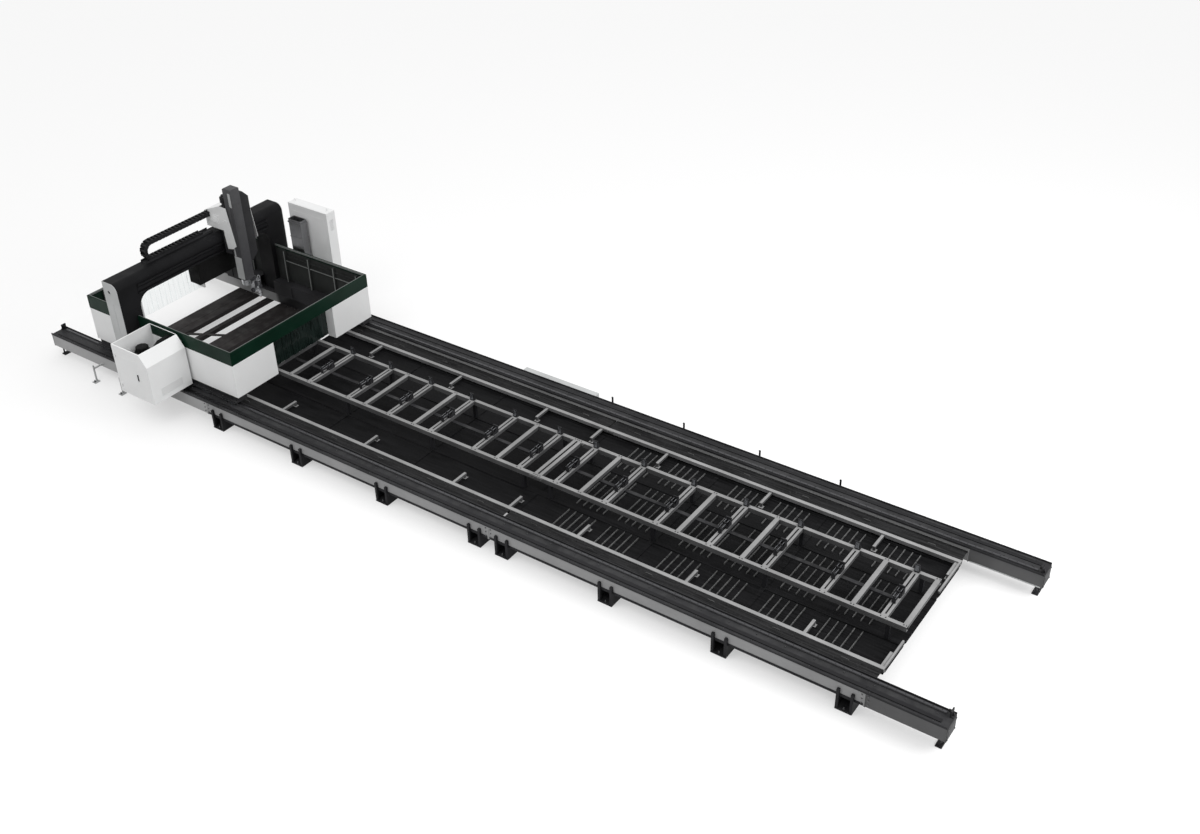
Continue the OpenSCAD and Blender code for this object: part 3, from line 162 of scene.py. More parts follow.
def make_floor():
    material = bpy.data.materials.new("studio_floor")
    tree = empty_tree(material)
    matt = node(tree, "BsdfDiffuse", {"Color": (FLOOR_ALBEDO,) * 3 + (1,)})
    dark = node(tree, "Emission", {"Strength": 0.0})
    lift = node(tree, "Emission", {"Strength": 1.0 - FLOOR_ALBEDO})
    pick = node(tree, "MixShader", {0: seen_directly(tree), 1: dark[0], 2: lift[0]})
    both = node(tree, "AddShader", {0: matt[0], 1: pick[0]})
    node(tree, "OutputMaterial", {"Surface": both[0]})
    h = FLOOR_HALF
    mesh = bpy.data.meshes.new("studio_floor")
    mesh.from_pydata([(-h, -h, 0), (h, -h, 0), (h, h, 0), (-h, h, 0)], [], [(0, 1, 2, 3)])
    mesh.materials.append(material)
    floor = new_object("studio_floor", mesh)
    floor.location.z = -FLOOR_DROP


# Materials


def grey(value, blue=None):
    return (value, value, blue or value)


def shade(rgb, factor):
    return tuple(min(1.0, c * factor) for c in rgb)


class Finish:
    """A node material built step by step around one Principled shader."""

    def __init__(self, rough, metallic=0.0, coat=0.0, gloss=GLOSS):
        self.material = bpy.data.materials.new("finish")
        self.material.use_nodes = True
        self.tree = self.material.node_tree
        self.inputs = self.tree.nodes["Principled BSDF"].inputs
        self.inputs["Metallic"].default_value = metallic
        self.inputs["Roughness"].default_value = rough
        self.inputs["Coat Weight"].default_value = coat
        self.inputs["Specular IOR Level"].default_value = gloss
        self.where = self.node("TexCoord", out="Object")
        self.bump_from = None

    def node(self, kind, inputs=None, out=0, **settings):
        return node(self.tree, kind, inputs, **settings)[out]

    def noise(self, scale, detail=3.0, stretch=None):
        where = self.where
        if stretch:
            where = self.node("Mapping", {"Scale": stretch, "Vector": where}, "Vector")
        return self.node("TexNoise", {"Scale": scale, "Detail": detail, "Vector": where}, "Fac")

    def ramp(self, value, low, high, out_low=0, out_high=1):
        return self.node("MapRange", {"Value": value, "From Min": low, "From Max": high,
                                      "To Min": out_low, "To Max": out_high}, "Result")

    def times(self, a, b):
        return self.node("Math", {0: a, 1: b}, operation="MULTIPLY")

    def part(self, vector, axis):
        return self.node("SeparateXYZ", {0: vector}, axis)

    def facing_up(self, low, high, most=1):
        return self.ramp(self.part(self.node("NewGeometry", out="Normal"), "Z"), low, high, 0, most)

    def mix(self, amount, a, b):
        a, b = (c if isinstance(c, bpy.types.NodeSocket) else (*c, 1) for c in (a, b))
        return self.node("Mix", {"A": a, "B": b, "Factor": amount}, "Result", data_type="RGBA")

    def tones(self, amount, rgb, darker, lighter):
        return self.mix(amount, shade(rgb, darker), shade(rgb, lighter))

    def done(self, colour, rough_by, rough, grain, strength, depth):
        """Connects the colour, a roughness that varies with a noise, and the surface's grain."""
        bump = self.node("Bump", {"Strength": strength, "Distance": depth, "Height": grain},
                         "Normal")
        for key, socket in (("Base Color", colour), ("Normal", bump),
                            ("Roughness", self.ramp(rough_by, 0.3, 0.7, *rough))):
            self.tree.links.new(socket, self.inputs[key])
        return self.material


def paint(rgb, rough=0.45, spread=0.08, peel=0.12, coat=0.0, dust=0.0):
    """Sprayed metal: cloudy tone, fine orange peel, a little dust on what faces up."""
    f = Finish(rough, coat=coat, gloss=DARK_GLOSS if max(rgb) < DARK_BELOW else GLOSS)
    tone = f.tones(f.ramp(f.noise(1.6, 4.0), 0.35, 0.65), rgb, 1 - spread, 1 + spread)
    tone = f.mix(f.ramp(f.noise(260.0, 2.0), 0.62, 0.72, 0, 0.35), tone, shade(rgb, 0.8))
    if dust:
        patch = f.ramp(f.noise(7.0, 5.0), 0.4, 0.7)
        tone = f.mix(f.times(f.facing_up(0.6, 1.0, dust), patch), tone, DUST)
    return f.done(tone, f.noise(5.0), (rough - 0.06, rough + 0.08),
                  f.noise(420.0, 2.0), peel, 0.0006)


def worn_top(side, top, rough=0.55):
    """Painted tube: light, dusty upper faces over darker sides."""
    f = Finish(rough, gloss=PLASTIC_GLOSS)
    cloud = f.ramp(f.noise(2.2, 5.0), 0.35, 0.65)
    tone = f.mix(f.facing_up(0.5, 0.9), f.tones(cloud, side, 0.8, 1.3),
                 f.tones(cloud, top, 0.88, 1.1))
    scuffs = f.ramp(f.noise(34.0, 6.0), 0.58, 0.7, 0, 0.4)
    return f.done(f.mix(scuffs, tone, shade(side, 1.6)), f.noise(5.0),
                  (rough - 0.06, rough + 0.1), f.noise(320.0, 2.0), 0.15, 0.0006)


def ground_steel(rgb, rough=0.28, along=0):
    """Ground or brushed metal, its lines running along one axis."""
    f = Finish(rough, metallic=1.0)
    stretch = [60.0, 60.0, 60.0]
    stretch[along] = 1.2
    lines = f.noise(6.0, 4.0, stretch)
    return f.done(f.tones(f.ramp(lines, 0.35, 0.65), rgb, 0.8, 1.15), lines,
                  (rough - 0.05, rough + 0.12), lines, 0.1, 0.0004)


def plastic(rgb, rough=0.55, grain=180.0, strength=0.25):
    """Moulded or extruded plastic with a fine grain."""
    f = Finish(rough, gloss=PLASTIC_GLOSS)
    return f.done(f.tones(f.ramp(f.noise(9.0), 0.3, 0.7), rgb, 0.8, 1.25), f.noise(30.0, 2.0),
                  (rough - 0.08, rough + 0.08), f.noise(grain), strength, 0.0008)


def worn_sheet(rgb, streak, rough=0.5):
    """Bare dark sheet with long rolling marks, scratches and slag dust."""
    f = Finish(rough, metallic=0.1, gloss=DARK_GLOSS)
    roll = f.noise(3.0, 5.0, (0.6, 14.0, 14.0))
    tone = f.mix(f.ramp(roll, 0.35, 0.7), shade(rgb, 0.65), streak)
    tone = f.mix(f.ramp(f.noise(38.0, 6.0), 0.58, 0.72, 0, 0.5), tone, shade(streak, 1.5))
    return f.done(tone, roll, (rough - 0.12, rough + 0.2), f.noise(60.0, 4.0), 0.3, 0.001)


def along_rail(rear, front, shaded):
    """Paint of the rail's end stretches: light behind the bed, darker on the far side, in front."""
    f = Finish(0.5)
    x, y = f.part(f.where, "X"), f.part(f.where, "Y")
    beyond = f.times(f.ramp(x, -6.35, -6.25), f.ramp(y, -0.1, 0.1))
    cloud = f.ramp(f.noise(1.6, 4.0), 0.35, 0.65)
    low = f.mix(beyond, f.tones(cloud, rear, 0.93, 1.05), shaded)
    tone = f.mix(f.ramp(x, -0.5, 0.5), low, f.tones(cloud, front, 0.85, 1.1))
    return f.done(tone, f.noise(5.0), (0.44, 0.58), f.noise(420.0, 2.0), 0.12, 0.0006)


def strip_plastic(rgb):
    """Flexible translucent curtain sheet with faint vertical ripples."""
    f = Finish(0.3, coat=0.3)
    ripple = f.noise(9.0, 2.0, (1.0, 5.0, 0.4))
    tone = f.tones(f.ramp(ripple, 0.3, 0.7), rgb, 0.7, 1.6)
    return f.done(tone, ripple, (0.2, 0.42), ripple, 0.3, 0.004)


def clear_plastic(rgb):
    """Clear curtain sheet, lightly clouded."""
    f = Finish(0.08)
    haze = f.noise(9.0, 2.0, (1.0, 5.0, 0.4))
    f.inputs["Transmission Weight"].default_value = 1.0
    f.inputs["IOR"].default_value = 1.08
    tone = f.tones(f.ramp(haze, 0.3, 0.7), rgb, 0.94, 1.0)
    return f.done(tone, haze, (0.03, 0.12), haze, 0.1, 0.002)


def steel(value, blue, *how):
    return ground_steel(grey(value, blue), *how)


def coat(value, blue, *how, **more):
    return paint(grey(value, blue), *how, **more)


MATERIALS = {
    "girder": coat(0.32, 0.323, 0.5, 0.07, dust=0.12),
    "girder_dark": along_rail(grey(0.40, 0.403), grey(0.10, 0.102), grey(0.015, 0.016)),
    "end_paint": coat(0.05, 0.052, 0.5, 0.2),
    "cap": coat(0.032, 0.034, 0.55, 0.25, dust=0.05),
    "frame_dark": coat(0.02, 0.022, 0.55, 0.3, dust=0.06),
    "beam_black": coat(0.011, 0.012, 0.5, 0.25),
    "guide_steel": steel(0.13, 0.137, 0.4),
    "magnet_track": steel(0.05, 0.053, 0.5),
    "bed_light": worn_top(grey(0.085, 0.087), grey(0.27)),
    "edge_light": worn_top(grey(0.16, 0.163), grey(0.30)),
    "sheet_dark": worn_sheet(grey(0.005, 0.0055), grey(0.015, 0.016), 0.65),
    "cover_dark": worn_sheet(grey(0.012, 0.0125), grey(0.036, 0.037), 0.6),
    "rib_grey": worn_sheet(grey(0.08), grey(0.16), 0.5),
    "jaw_dark": coat(0.026, 0.028, 0.5, 0.3, dust=0.08),
    "light_metal": paint((0.50, 0.51, 0.51), 0.45, 0.08),
    "post_light": paint((0.20, 0.21, 0.205), 0.5, 0.08),
    "chain": plastic(grey(0.016, 0.017), 0.55),
    "bumper": plastic(grey(0.015), 0.75, 240.0, 0.4),
    "panel_white": paint((0.86, 0.865, 0.865), 0.42, 0.02, 0.1, coat=0.15),
    "band_green": paint((0.003, 0.018, 0.010), 0.42, 0.2, coat=0.05),
    "lining": paint((0.034, 0.036, 0.035), 0.55, 0.25),
    "bar_brown": paint((0.030, 0.027, 0.027), 0.55, 0.25, dust=0.08),
    "duct": plastic(grey(0.008), 0.6),
    "curtain": strip_plastic((0.007, 0.013, 0.011)),
    "curtain_clear": clear_plastic((0.95, 0.97, 0.97)),
    "rail_dark": steel(0.045, 0.048, 0.4, 1),
    "gear": coat(0.2, 0.21, 0.5),
    "pipe_grey": steel(0.32, 0.33, 0.42, 2),
    "block_steel": ground_steel((0.34, 0.35, 0.37), 0.36),
    "slide_dark": coat(0.032, 0.034, 0.5, 0.25),
    "ram_grey": coat(0.066, 0.07, 0.45, 0.15),
    "head_silver": ground_steel((0.62, 0.63, 0.65), 0.3, 1),
    "head_dark": coat(0.05, 0.055, 0.42, 0.2),
    "nozzle": ground_steel((0.72, 0.40, 0.18), 0.22, 2),
    "bolt": steel(0.16, 0.165, 0.4, 2),
    "cable": plastic(grey(0.012, 0.013), 0.5, 300.0, 0.2),
}
for look, finish in MATERIALS.items():
    finish.name = look + "_finish"


def dress_nodes():
    """Gives every CAD node its material and slightly rounded edges."""
    slots = {s["node"]: s["material_slot"] for s in frame["record"]["subparts"]}
    radii = {"portal": 0.006, "saddle_cover": 0.003}
    radii.update(dict.fromkeys(("near_cabinet", "far_cabinet", "ram", "side_panels", "end_panels",
                                "rim_band"), 0.004))
    looks = {"cover_sheets": "cover_dark", "edge_tubes": "edge_light", "y_guides": "rail_dark",
             "beam_tray": "slide_dark"}
    for name, part in NODES.items():
        part.data.materials.clear()
        part.data.materials.append(MATERIALS[looks.get(name, slots[name])])
        if name not in ("x_chain", "y_chain", "curtain_strips"):
            round_edges(part, radii.get(name, 0.0015))


def smooth(obj):
    for polygon in obj.data.polygons:
        polygon.use_smooth = True


def round_edges(obj, radius):
    setup(obj.modifiers.new("weld", "WELD"), merge_threshold=0.00002)
    setup(obj.modifiers.new("round", "BEVEL"), width=radius, segments=2, limit_method="ANGLE",
          angle_limit=math.radians(35), use_clamp_overlap=True, harden_normals=False)
    smooth(obj)
    setup(obj.modifiers.new("normals", "WEIGHTED_NORMAL"), keep_sharp=False, weight=90)


# Shapes

SIDES = (-1, 1)
CAP = [(0, 0.0085), (0.0006, 0.008)]
BED = "floor_frame"


def across(axis):
    """Two unit vectors square to axis."""
    helper = Vector(UP) if abs(axis.z) < 0.9 else Vector((1, 0, 0))
    side = axis.cross(helper).normalized()
    return side, axis.cross(side).normalized()


def circle(centre, u, v, radius, sides):
    return [centre + (u * math.cos(a) + v * math.sin(a)) * radius
            for a in (2 * math.pi * k / sides for k in range(sides))]


def skin(rings, sides):
    """Faces over rings of points, with the two flat ends."""
    faces = []
    for start, k in product(range(0, (rings - 1) * sides, sides), range(sides)):
        a, b = start + k, start + (k + 1) % sides
        faces.append((a, b, b + sides, a + sides))
    return faces + [range(sides)[::-1], range((rings - 1) * sides, rings * sides)]


def button(radius, height):
    """Profile of a round knob with a small chamfer."""
    return [(0, radius), (height, radius), (height + 0.002, radius - 0.002)]


def places(at):
    """Every point of a place whose x, y and z are each a number or a list of numbers."""
    return product(*(a if isinstance(a, (tuple, list)) else (a,) for a in at))


def mirrored(*values):
    return [s * v for s in SIDES for v in values]


def beside(values, *offsets):
    return [v + d for v in values for d in offsets]


def steps(start, end, pitch):
    """Evenly spaced places from start to end, about a pitch apart."""
    count = max(1, round((end - start) / pitch))
    return [start + (end - start) * k / count for k in range(count + 1)]


def around(x, y, radius, count, start=0.0):
    """Places on a level circle, each with its cosine and sine."""
    for k in range(count):
        c, s = (f(2 * math.pi * k / count + start) for f in (math.cos, math.sin))
        yield x + radius * c, y + radius * s, c, s


def arc(centre, radius, start, end, count, plane="xz"):
    """Points of an arc in a plane; angles in degrees."""
    cx, cy, cz = centre
    points = []
    for k in range(count + 1):
        a = math.radians(start + (end - start) * k / count)
        c, s = radius * math.cos(a), radius * math.sin(a)
        points.append((cx + c, cy, cz + s) if plane == "xz" else (cx, cy + c, cz + s))
    return points


class Shape:
    """Collects solids and makes one piece of them. A place may stand for several: see places."""

    def __init__(self):
        self.points = []
        self.faces = []

    def add(self, points, faces):
        start = len(self.points)
        self.points += [tuple(p) for p in points]
        self.faces += [[i + start for i in face] for face in faces]

    def slab(self, at, size):
        for centre in places(at):
            (x0, x1), (y0, y1), (z0, z1) = ((c - s / 2, c + s / 2) for c, s in zip(centre, size))
            points = [(x, y, z) for z in (z0, z1) for y in (y0, y1) for x in (x0, x1)]
            self.add(points, [(0, 2, 3, 1), (4, 5, 7, 6), (0, 1, 5, 4), (2, 6, 7, 3),
                              (0, 4, 6, 2), (1, 3, 7, 5)])
        return self

    def turned(self, at, axis, profile, sides=20):
        """Turned solids: profile is a list of (distance along the axis, radius)."""
        axis = Vector(axis).normalized()
        u, v = across(axis)
        for base in places(at):
            points = []
            for along, radius in profile:
                points += circle(Vector(base) + axis * along, u, v, radius, sides)
            self.add(points, skin(len(profile), sides))
        return self

    def bolt(self, at, axis, size):
        """Hexagon heads on washers; size is a head's width over its corners."""
        self.turned(at, axis, [(0, size * 0.66), (size * 0.1, size * 0.66)], 14)
        return self.turned(at, axis, [(size * 0.1, size * 0.5), (size * 0.42, size * 0.5),
                                      (size * 0.5, size * 0.42)], 6)

    def screw(self, at, axis, size):
        """Round socket heads with their recess."""
        r = size / 2
        return self.turned(at, axis, [(0, r), (r * 0.8, r), (r, r * 0.85), (r, r * 0.5),
                                      (r * 0.5, r * 0.46)], 12)

    def tube(self, path, radius, sides=10):
        """Round bar along a list of points."""
        path = [Vector(p) for p in path]
        points = []
        for i, p in enumerate(path):
            d = (path[min(i + 1, len(path) - 1)] - path[max(i - 1, 0)]).normalized()
            u = across(d)[0] if i == 0 else u
            u = (u - d * u.dot(d)).normalized()
            points += circle(p, u, d.cross(u), radius, sides)
        self.add(points, skin(len(path), sides))

    def make(self, name, body, look, radius=0.0, slot=None):
        mesh = bpy.data.meshes.new(name)
        mesh.from_pydata(self.points, [], self.faces)
        mesh.validate()
        mesh.materials.append(MATERIALS[look])
        obj = new_object(name, mesh)
        if radius:
            round_edges(obj, radius)
        else:
            smooth(obj)
            setup(obj.modifiers.new("split", "EDGE_SPLIT"), split_angle=math.radians(38))
        if body:
            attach(obj, body)
        return obj


# Places, in metres

RAIL_Y = 1.6785
RAIL_END = 8.575
GUIDE_Y = 1.585
RAIL_SIDE = 0.1425
MODULE_CENTRES = (-1.5, 4.5)
MODULE_SPLIT = 1.5
FOOT_PLACES = [c + f for c in MODULE_CENTRES for f in (-2.745, -0.915, 0.915, 2.745)]
CLAMP_PITCH = 0.885
CLAMP_PLACES = {c: [c + k * CLAMP_PITCH for k in range(-3, 4)] for c in MODULE_CENTRES}
ALL_CLAMPS = sum(CLAMP_PLACES.values(), [])
DECK_Z = 0.44
COVER_Z = 0.38
BED_Z = 0.617
EDGE_IN = 1.221
LONG_TUBES = (-0.615, 0.468)
TRAY_TOP = 0.2975
PORTAL_FRONT, PORTAL_BACK = -6.17, -6.52
HOOD_REAR, HOOD_FRONT = -7.5, -3.906
HOOD_ENDS = ((HOOD_REAR, -1), (HOOD_FRONT, 1))
WALL_OUT = 1.607
SCREW_ROWS = (0.622, 1.193)
BAND_ROWS = (1.243, 1.436)
RAM_X, RAM_Y = -5.85, 0.55
HEAD_Y = 0.79


# Rails


def rail_fittings():
    lo, hi = BOX["x_guides"]
    caps = Shape()
    caps.turned((steps(lo.x + 0.06, hi.x - 0.06, 0.12), mirrored(GUIDE_Y), hi.z - 0.0002),
                UP, CAP, 10)
    caps.make("guide_bolt_caps", BED, "magnet_track", slot="guide_steel")

    Shape().screw((steps(-RAIL_END + 0.2, RAIL_END - 0.2, 0.42),
                   mirrored(RAIL_Y - 0.03, RAIL_Y + 0.115), DECK_Z),
                  UP, 0.018).make("cap_screws", BED, "bolt")

    anchors = Shape()
    feet = ((FOOT_PLACES, RAIL_Y + 0.160, 0.02), ((-7.21, -6.50), RAIL_Y + 0.380, 0.012),
            ((-8.48, 8.48), RAIL_Y, 0.02))
    for xs, y, z in feet:
        for rise, profile, sides in ((0, [(0, 0.02), (0.003, 0.02)], 14),
                                     (0.003, button(0.015, 0.011), 6),
                                     (0.016, [(0, 0.0085), (0.02, 0.0085), (0.022, 0.007)], 10)):
            anchors.turned((xs, mirrored(y), z + rise), UP, profile, sides)
    anchors.make("anchor_nuts", BED, "bolt")

    plates, bolts = Shape(), Shape()
    for e, s in product(SIDES, SIDES):
        x, y = e * (RAIL_END + 0.003), s * RAIL_Y
        plates.slab((x, y, 0.3165), (0.006, 0.285, 0.225))
        plates.slab((x + e * 0.004, y, 0.3165), (0.003, 0.215, 0.155))
        bolts.bolt((x + e * 0.003, (y - 0.122, y + 0.122), (0.228, 0.405)), (e, 0, 0), 0.02)
    plates.make("rail_end_plates", BED, "end_paint", 0.0012, "girder_dark")
    Shape().slab((8.04, mirrored(RAIL_Y - 0.1455), 0.213),
                 (1.02, 0.006, 0.018)).make("girder_edge", BED, "light_metal", 0.001)

    for x, s in product((-4.5, MODULE_SPLIT, 7.5), SIDES):
        bolts.bolt(((x - 0.045, x + 0.045), s * (RAIL_Y + RAIL_SIDE), (0.25, 0.32, 0.39)),
                   (0, s, 0), 0.02)
    bolts.make("girder_bolts", BED, "bolt")

    # Dark strip along the bottom of each girder's outer side: painted shade of the shadowed gap
    # under the girder.
    Shape().slab((MODULE_CENTRES, mirrored(RAIL_Y + 0.1450), 0.228),
                 (5.96, 0.005, 0.042)).make("girder_painted_shade_strip", BED, "frame_dark", 0.001)

    ribs = Shape()
    for x, s in product(FOOT_PLACES, SIDES):
        ribs.slab((x, s * (RAIL_Y - 0.114), 0.1065), (0.216, 0.008, 0.173))
        ribs.tube([(x - 0.1, s * 1.866, 0.0205), (x + 0.1, s * 1.866, 0.0205)], 0.004, 6)
    ribs.make("foot_ribs", BED, "frame_dark", 0.0012)

    ties = Shape()
    for x0, x1 in ((-7.36, -6.89), (-6.62, -6.52), (-6.235, -5.785)):
        ties.bolt((steps(x0 + 0.03, x1 - 0.03, 0.19), mirrored(1.50), 0.205), UP, 0.022)
    ties.make("tie_bolts", BED, "bolt")
    Shape().slab(((-7.10, -6.01), 0, 0.2065),
                 (0.05, 2.86, 0.003)).make("tie_beads", BED, "bar_brown", 0.001)


# Bed


def bed_fittings():
    stubs = Shape()
    xs = [c + k * 1.83 for c in MODULE_CENTRES for k in (-1, 0, 1)] + [1.42, 7.44]
    for y, z, size in ((1.065, 0.352, (0.044, 0.312, 0.04)), (0.93, 0.3105, (0.036, 0.03, 0.043)),
                       (0.93, 0.2905, (0.08, 0.07, 0.003))):
        stubs.slab((xs, mirrored(y), z), size)
    stubs.make("edge_stubs", BED, "bed_light", 0.002)

    bolts = Shape()
    members = [(x, 0.036) for x in ALL_CLAMPS]
    members += [(c + d, 0.02) for c in MODULE_CENTRES for d in (-2.2125, -0.5225, 0.5225, 2.2125)]
    members += [(x, 0.02) for x in (-4.465, 1.464, 1.536, 7.465)]
    for (x, dx), y in product(members, LONG_TUBES):
        bolts.screw(((x - dx, x + dx), y, BED_Z), UP, 0.017)
    bolts.bolt((beside(ALL_CLAMPS, -0.028, 0.028), 0.478, BED_Z + 0.014), UP, 0.016)
    pads = Shape().slab((ALL_CLAMPS, 0.4355, BED_Z + 0.075), (0.062, 0.005, 0.1))
    pads.screw((ALL_CLAMPS, 0.433, (BED_Z + 0.035, BED_Z + 0.115)), (0, -1, 0), 0.012)
    bolts.make("bed_bolts", BED, "bolt")
    pads.make("stop_pads", BED, "block_steel", 0.001)

    splices = Shape()
    faces = [(y + s * 0.030, s, 0.577, 0.056, 0.018) for y in LONG_TUBES for s in SIDES]
    faces += [(s * EDGE_IN, -s, 0.362, 0.044, 0.016) for s in SIDES]
    for y, s, z, height, head in faces:
        splices.slab((MODULE_SPLIT, y + s * 0.004, z), (0.26, 0.008, height))
        splices.bolt((beside([MODULE_SPLIT], -0.1, -0.04, 0.04, 0.1),
                      y + s * 0.008, z), (0, s, 0), head)
    splices.make("splice_plates", BED, "bed_light", 0.001)

    lids, grips = Shape(), Shape()
    for c, d, s in product(MODULE_CENTRES, (-2.0, 0.0, 2.0), SIDES):
        x, y = c + d, s * 1.405
        lids.slab((x, y, COVER_Z + 0.0015), (1.5, 0.17, 0.003))
        lids.slab((x, y, COVER_Z + 0.004), (1.44, 0.012, 0.003))
        lids.screw((beside([x], -0.72, -0.24, 0.24, 0.72), (y - 0.07, y + 0.07),
                    COVER_Z + 0.003), UP, 0.012)
        for gx in (x - 0.5, x + 0.5):
            bar = ((-0.055, 0), (-0.055, 0.016), (-0.045, 0.022))
            bar += tuple((-a, h) for a, h in bar[::-1])
            grips.tube([(gx + a, s * 1.375, COVER_Z + 0.003 + h) for a, h in bar], 0.004, 8)
    lids.make("cover_lids", BED, "cover_dark", 0.0008, "sheet_dark")
    grips.make("lid_grips", BED, "rib_grey")

    joints = Shape()
    for y, width in ((-0.615, 0.1), (0.47, 0.1), (-1.241, 0.076), (1.241, 0.076)):
        joints.slab((MODULE_SPLIT, y, TRAY_TOP), (11.98, width, 0.003))
    joints.slab(((MODULE_SPLIT, -2.415, -0.585, 3.585, 5.415), 0, TRAY_TOP),
                (0.07, 2.4, 0.0028))
    joints.make("tray_joints", BED, "sheet_dark", 0.0008)
    Shape().slab((MODULE_SPLIT, -0.0735, BED_Z - 0.006),
                 (0.03, 1.01, 0.012)).make("module_joint", BED, "frame_dark", 0.001)

    hems = Shape()
    for c, (x0, x1), (y0, y1) in product(MODULE_CENTRES,
                                         ((-2.99, -0.93), (-0.9, 0.9), (0.93, 2.99)),
                                         ((-1.215, -0.65), (-0.58, 0.435), (0.505, 1.215))):
        hems.slab((c + (x0 + x1) / 2, (y0 + 0.012, y1 - 0.012), 0.2925),
                  (x1 - x0, 0.014, 0.007))
        hems.slab(((c + x0 + 0.012, c + x1 - 0.012), (y0 + y1) / 2, 0.2925),
                  (0.014, y1 - y0 - 0.03, 0.007))
    hems.make("tray_hems", BED, "sheet_dark", 0.001)


def clamps():
    """Clamping cylinder, uprights and tie rods behind each jaw."""
    axis_z = BED_Z + 0.0563
    cylinder = [(0, 0.021), (0.01, 0.024), (0.02, 0.021), (0.1, 0.021), (0.11, 0.024),
                (0.121, 0.024)]
    for body, centre in zip(("jaws_left", "jaws_right"), MODULE_CENTRES):
        dark, bright = Shape(), Shape()
        xs = CLAMP_PLACES[centre]
        pairs = beside(xs, -0.024, 0.024)
        dark.slab((xs, -0.1675, 0.676), (0.07, 0.012, 0.115))
        dark.slab((xs, -0.3, 0.676), (0.06, 0.01, 0.112))
        dark.slab((xs, -0.0343, 0.69), (0.06, 0.0012, 0.08))
        dark.turned((xs, -0.295, axis_z), (0, 1, 0), cylinder, 16)
        dark.bolt((pairs, -0.146, BED_Z + 0.0183), UP, 0.014)
        bright.turned((xs, -0.174, axis_z), (0, 1, 0), [(0, 0.007), (0.06, 0.007)], 12)
        bright.bolt((pairs, -0.305, 0.714), (0, -1, 0), 0.012)
        bright.screw((beside(xs, -0.0216, 0.0216), -0.035, (0.66, 0.725)), (0, 1, 0), 0.01)
        for x in pairs:
            bright.tube([(x, -0.3, 0.714), (x, -0.054, 0.714)], 0.004, 8)
        dark.make(body + "_cylinders", body, "jaw_dark", 0.001)
        bright.make(body + "_rods", body, "block_steel", slot="jaw_dark")


# Energy chains


def chain_links(name, path, width, height, pitch, sideways):
    """Moulded links laid along a path that lies in the plane square to sideways."""
    points = [Vector(p) for p in path]
    lengths = [0.0]
    for a, b in zip(points, points[1:]):
        lengths.append(lengths[-1] + (b - a).length)
    count = max(2, int(lengths[-1] / pitch))
    real = lengths[-1] / count

    def at(s):
        i = next(i for i in range(1, len(points)) if s <= lengths[i] or i == len(points) - 1)
        t = (s - lengths[i - 1]) / max(1e-9, lengths[i] - lengths[i - 1])
        return points[i - 1].lerp(points[i], t), (points[i] - points[i - 1]).normalized()

    shape = Shape()
    side = 0.008
    h, l = height / 2, real * 0.56
    outline = [(-l, -h * 0.72), (-l * 0.72, -h), (l * 0.72, -h * 0.94), (l * 0.86, -h * 0.6),
               (l * 0.86, h * 0.6), (l * 0.72, h * 0.94), (-l * 0.72, h), (-l, h * 0.72)]
    bar = ((-l * 0.35, 0.98), (l * 0.35, 0.98), (l * 0.35, 0.8), (-l * 0.35, 0.8))
    for k in range(count):
        centre, d = at((k + 0.5) * real)
        n = d.cross(sideways).normalized()

        def prism(section, low, high):
            shape.add([centre + d * a + n * b + sideways * w
                       for w in (low, high) for a, b in section], skin(2, len(section)))

        for edge in SIDES:
            shift = 0.0 if k % 2 else -edge * 0.0012
            outer = edge * width / 2 + shift
            prism(outline, outer - edge * side, outer)
            shape.turned(centre + d * (-l * 0.6) + sideways * outer, sideways * edge,
                         [(-0.004, h * 0.42), (0.001, h * 0.42), (0.002, h * 0.36)], 10)
        for level in SIDES:
            prism([(a, level * h * b) for a, b in bar], side - width / 2, width / 2 - side)
    return shape.make(name, None, "chain")


def finer(path, pitch):
    """The same path with points at most a pitch apart."""
    out = [Vector(path[0])]
    for a, b in zip(path, path[1:]):
        a, b = Vector(a), Vector(b)
        count = max(1, math.ceil((b - a).length / pitch))
        out += [a.lerp(b, (k + 1) / count) for k in range(count)]
    return out


def energy_chain(name, cad, plane, height, ends, bend_steps, pitches, offsets, thick):
    """A chain bent back on itself, as two halves with the cables that show between their links.
    """
    lo, hi = BOX[cad]
    run = 0 if plane == "xz" else 1
    mid = (lo[1 - run] + hi[1 - run]) / 2
    width = hi[1 - run] - lo[1 - run]
    outer = (hi.z - lo.z) / 2
    radius = outer - height / 2
    axis_z = (lo.z + hi.z) / 2
    bend = lo[run] + outer

    def at(along, z):
        return Vector((along, mid, z) if run == 0 else (mid, along, z))

    low, high = axis_z - radius, axis_z + radius
    around_bend = (at(bend, axis_z), radius)
    sideways = Vector((0, 1, 0) if run == 0 else (1, 0, 0))
    lower = [at(ends[0], low), at(bend, low)]
    lower += arc(*around_bend, 270, 180, bend_steps, plane)[1:]
    upper = arc(*around_bend, 180, 90, bend_steps, plane) + [at(ends[1], high)]
    for half, path, pitch in zip(("lower", "upper"), (lower, upper), pitches):
        links = chain_links(f"{name}_{half}", path, width, height, pitch, sideways)
        lines = Shape()
        for offset in offsets:
            lines.tube([p + sideways * offset for p in finer(path, 0.1)], thick, 8)
        lines = lines.make(f"{name}_cables_{half}", None, "cable")
        if half == "lower":
            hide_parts(cad)
            start = path[0]
            end = start + (at(bend - radius, low) - start) * 2
        else:
            end = path[-1]
            start = end + (at(bend - radius, high) - end) * 2
        for piece in (links, lines):
            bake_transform(piece)
            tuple(start)
            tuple(end)


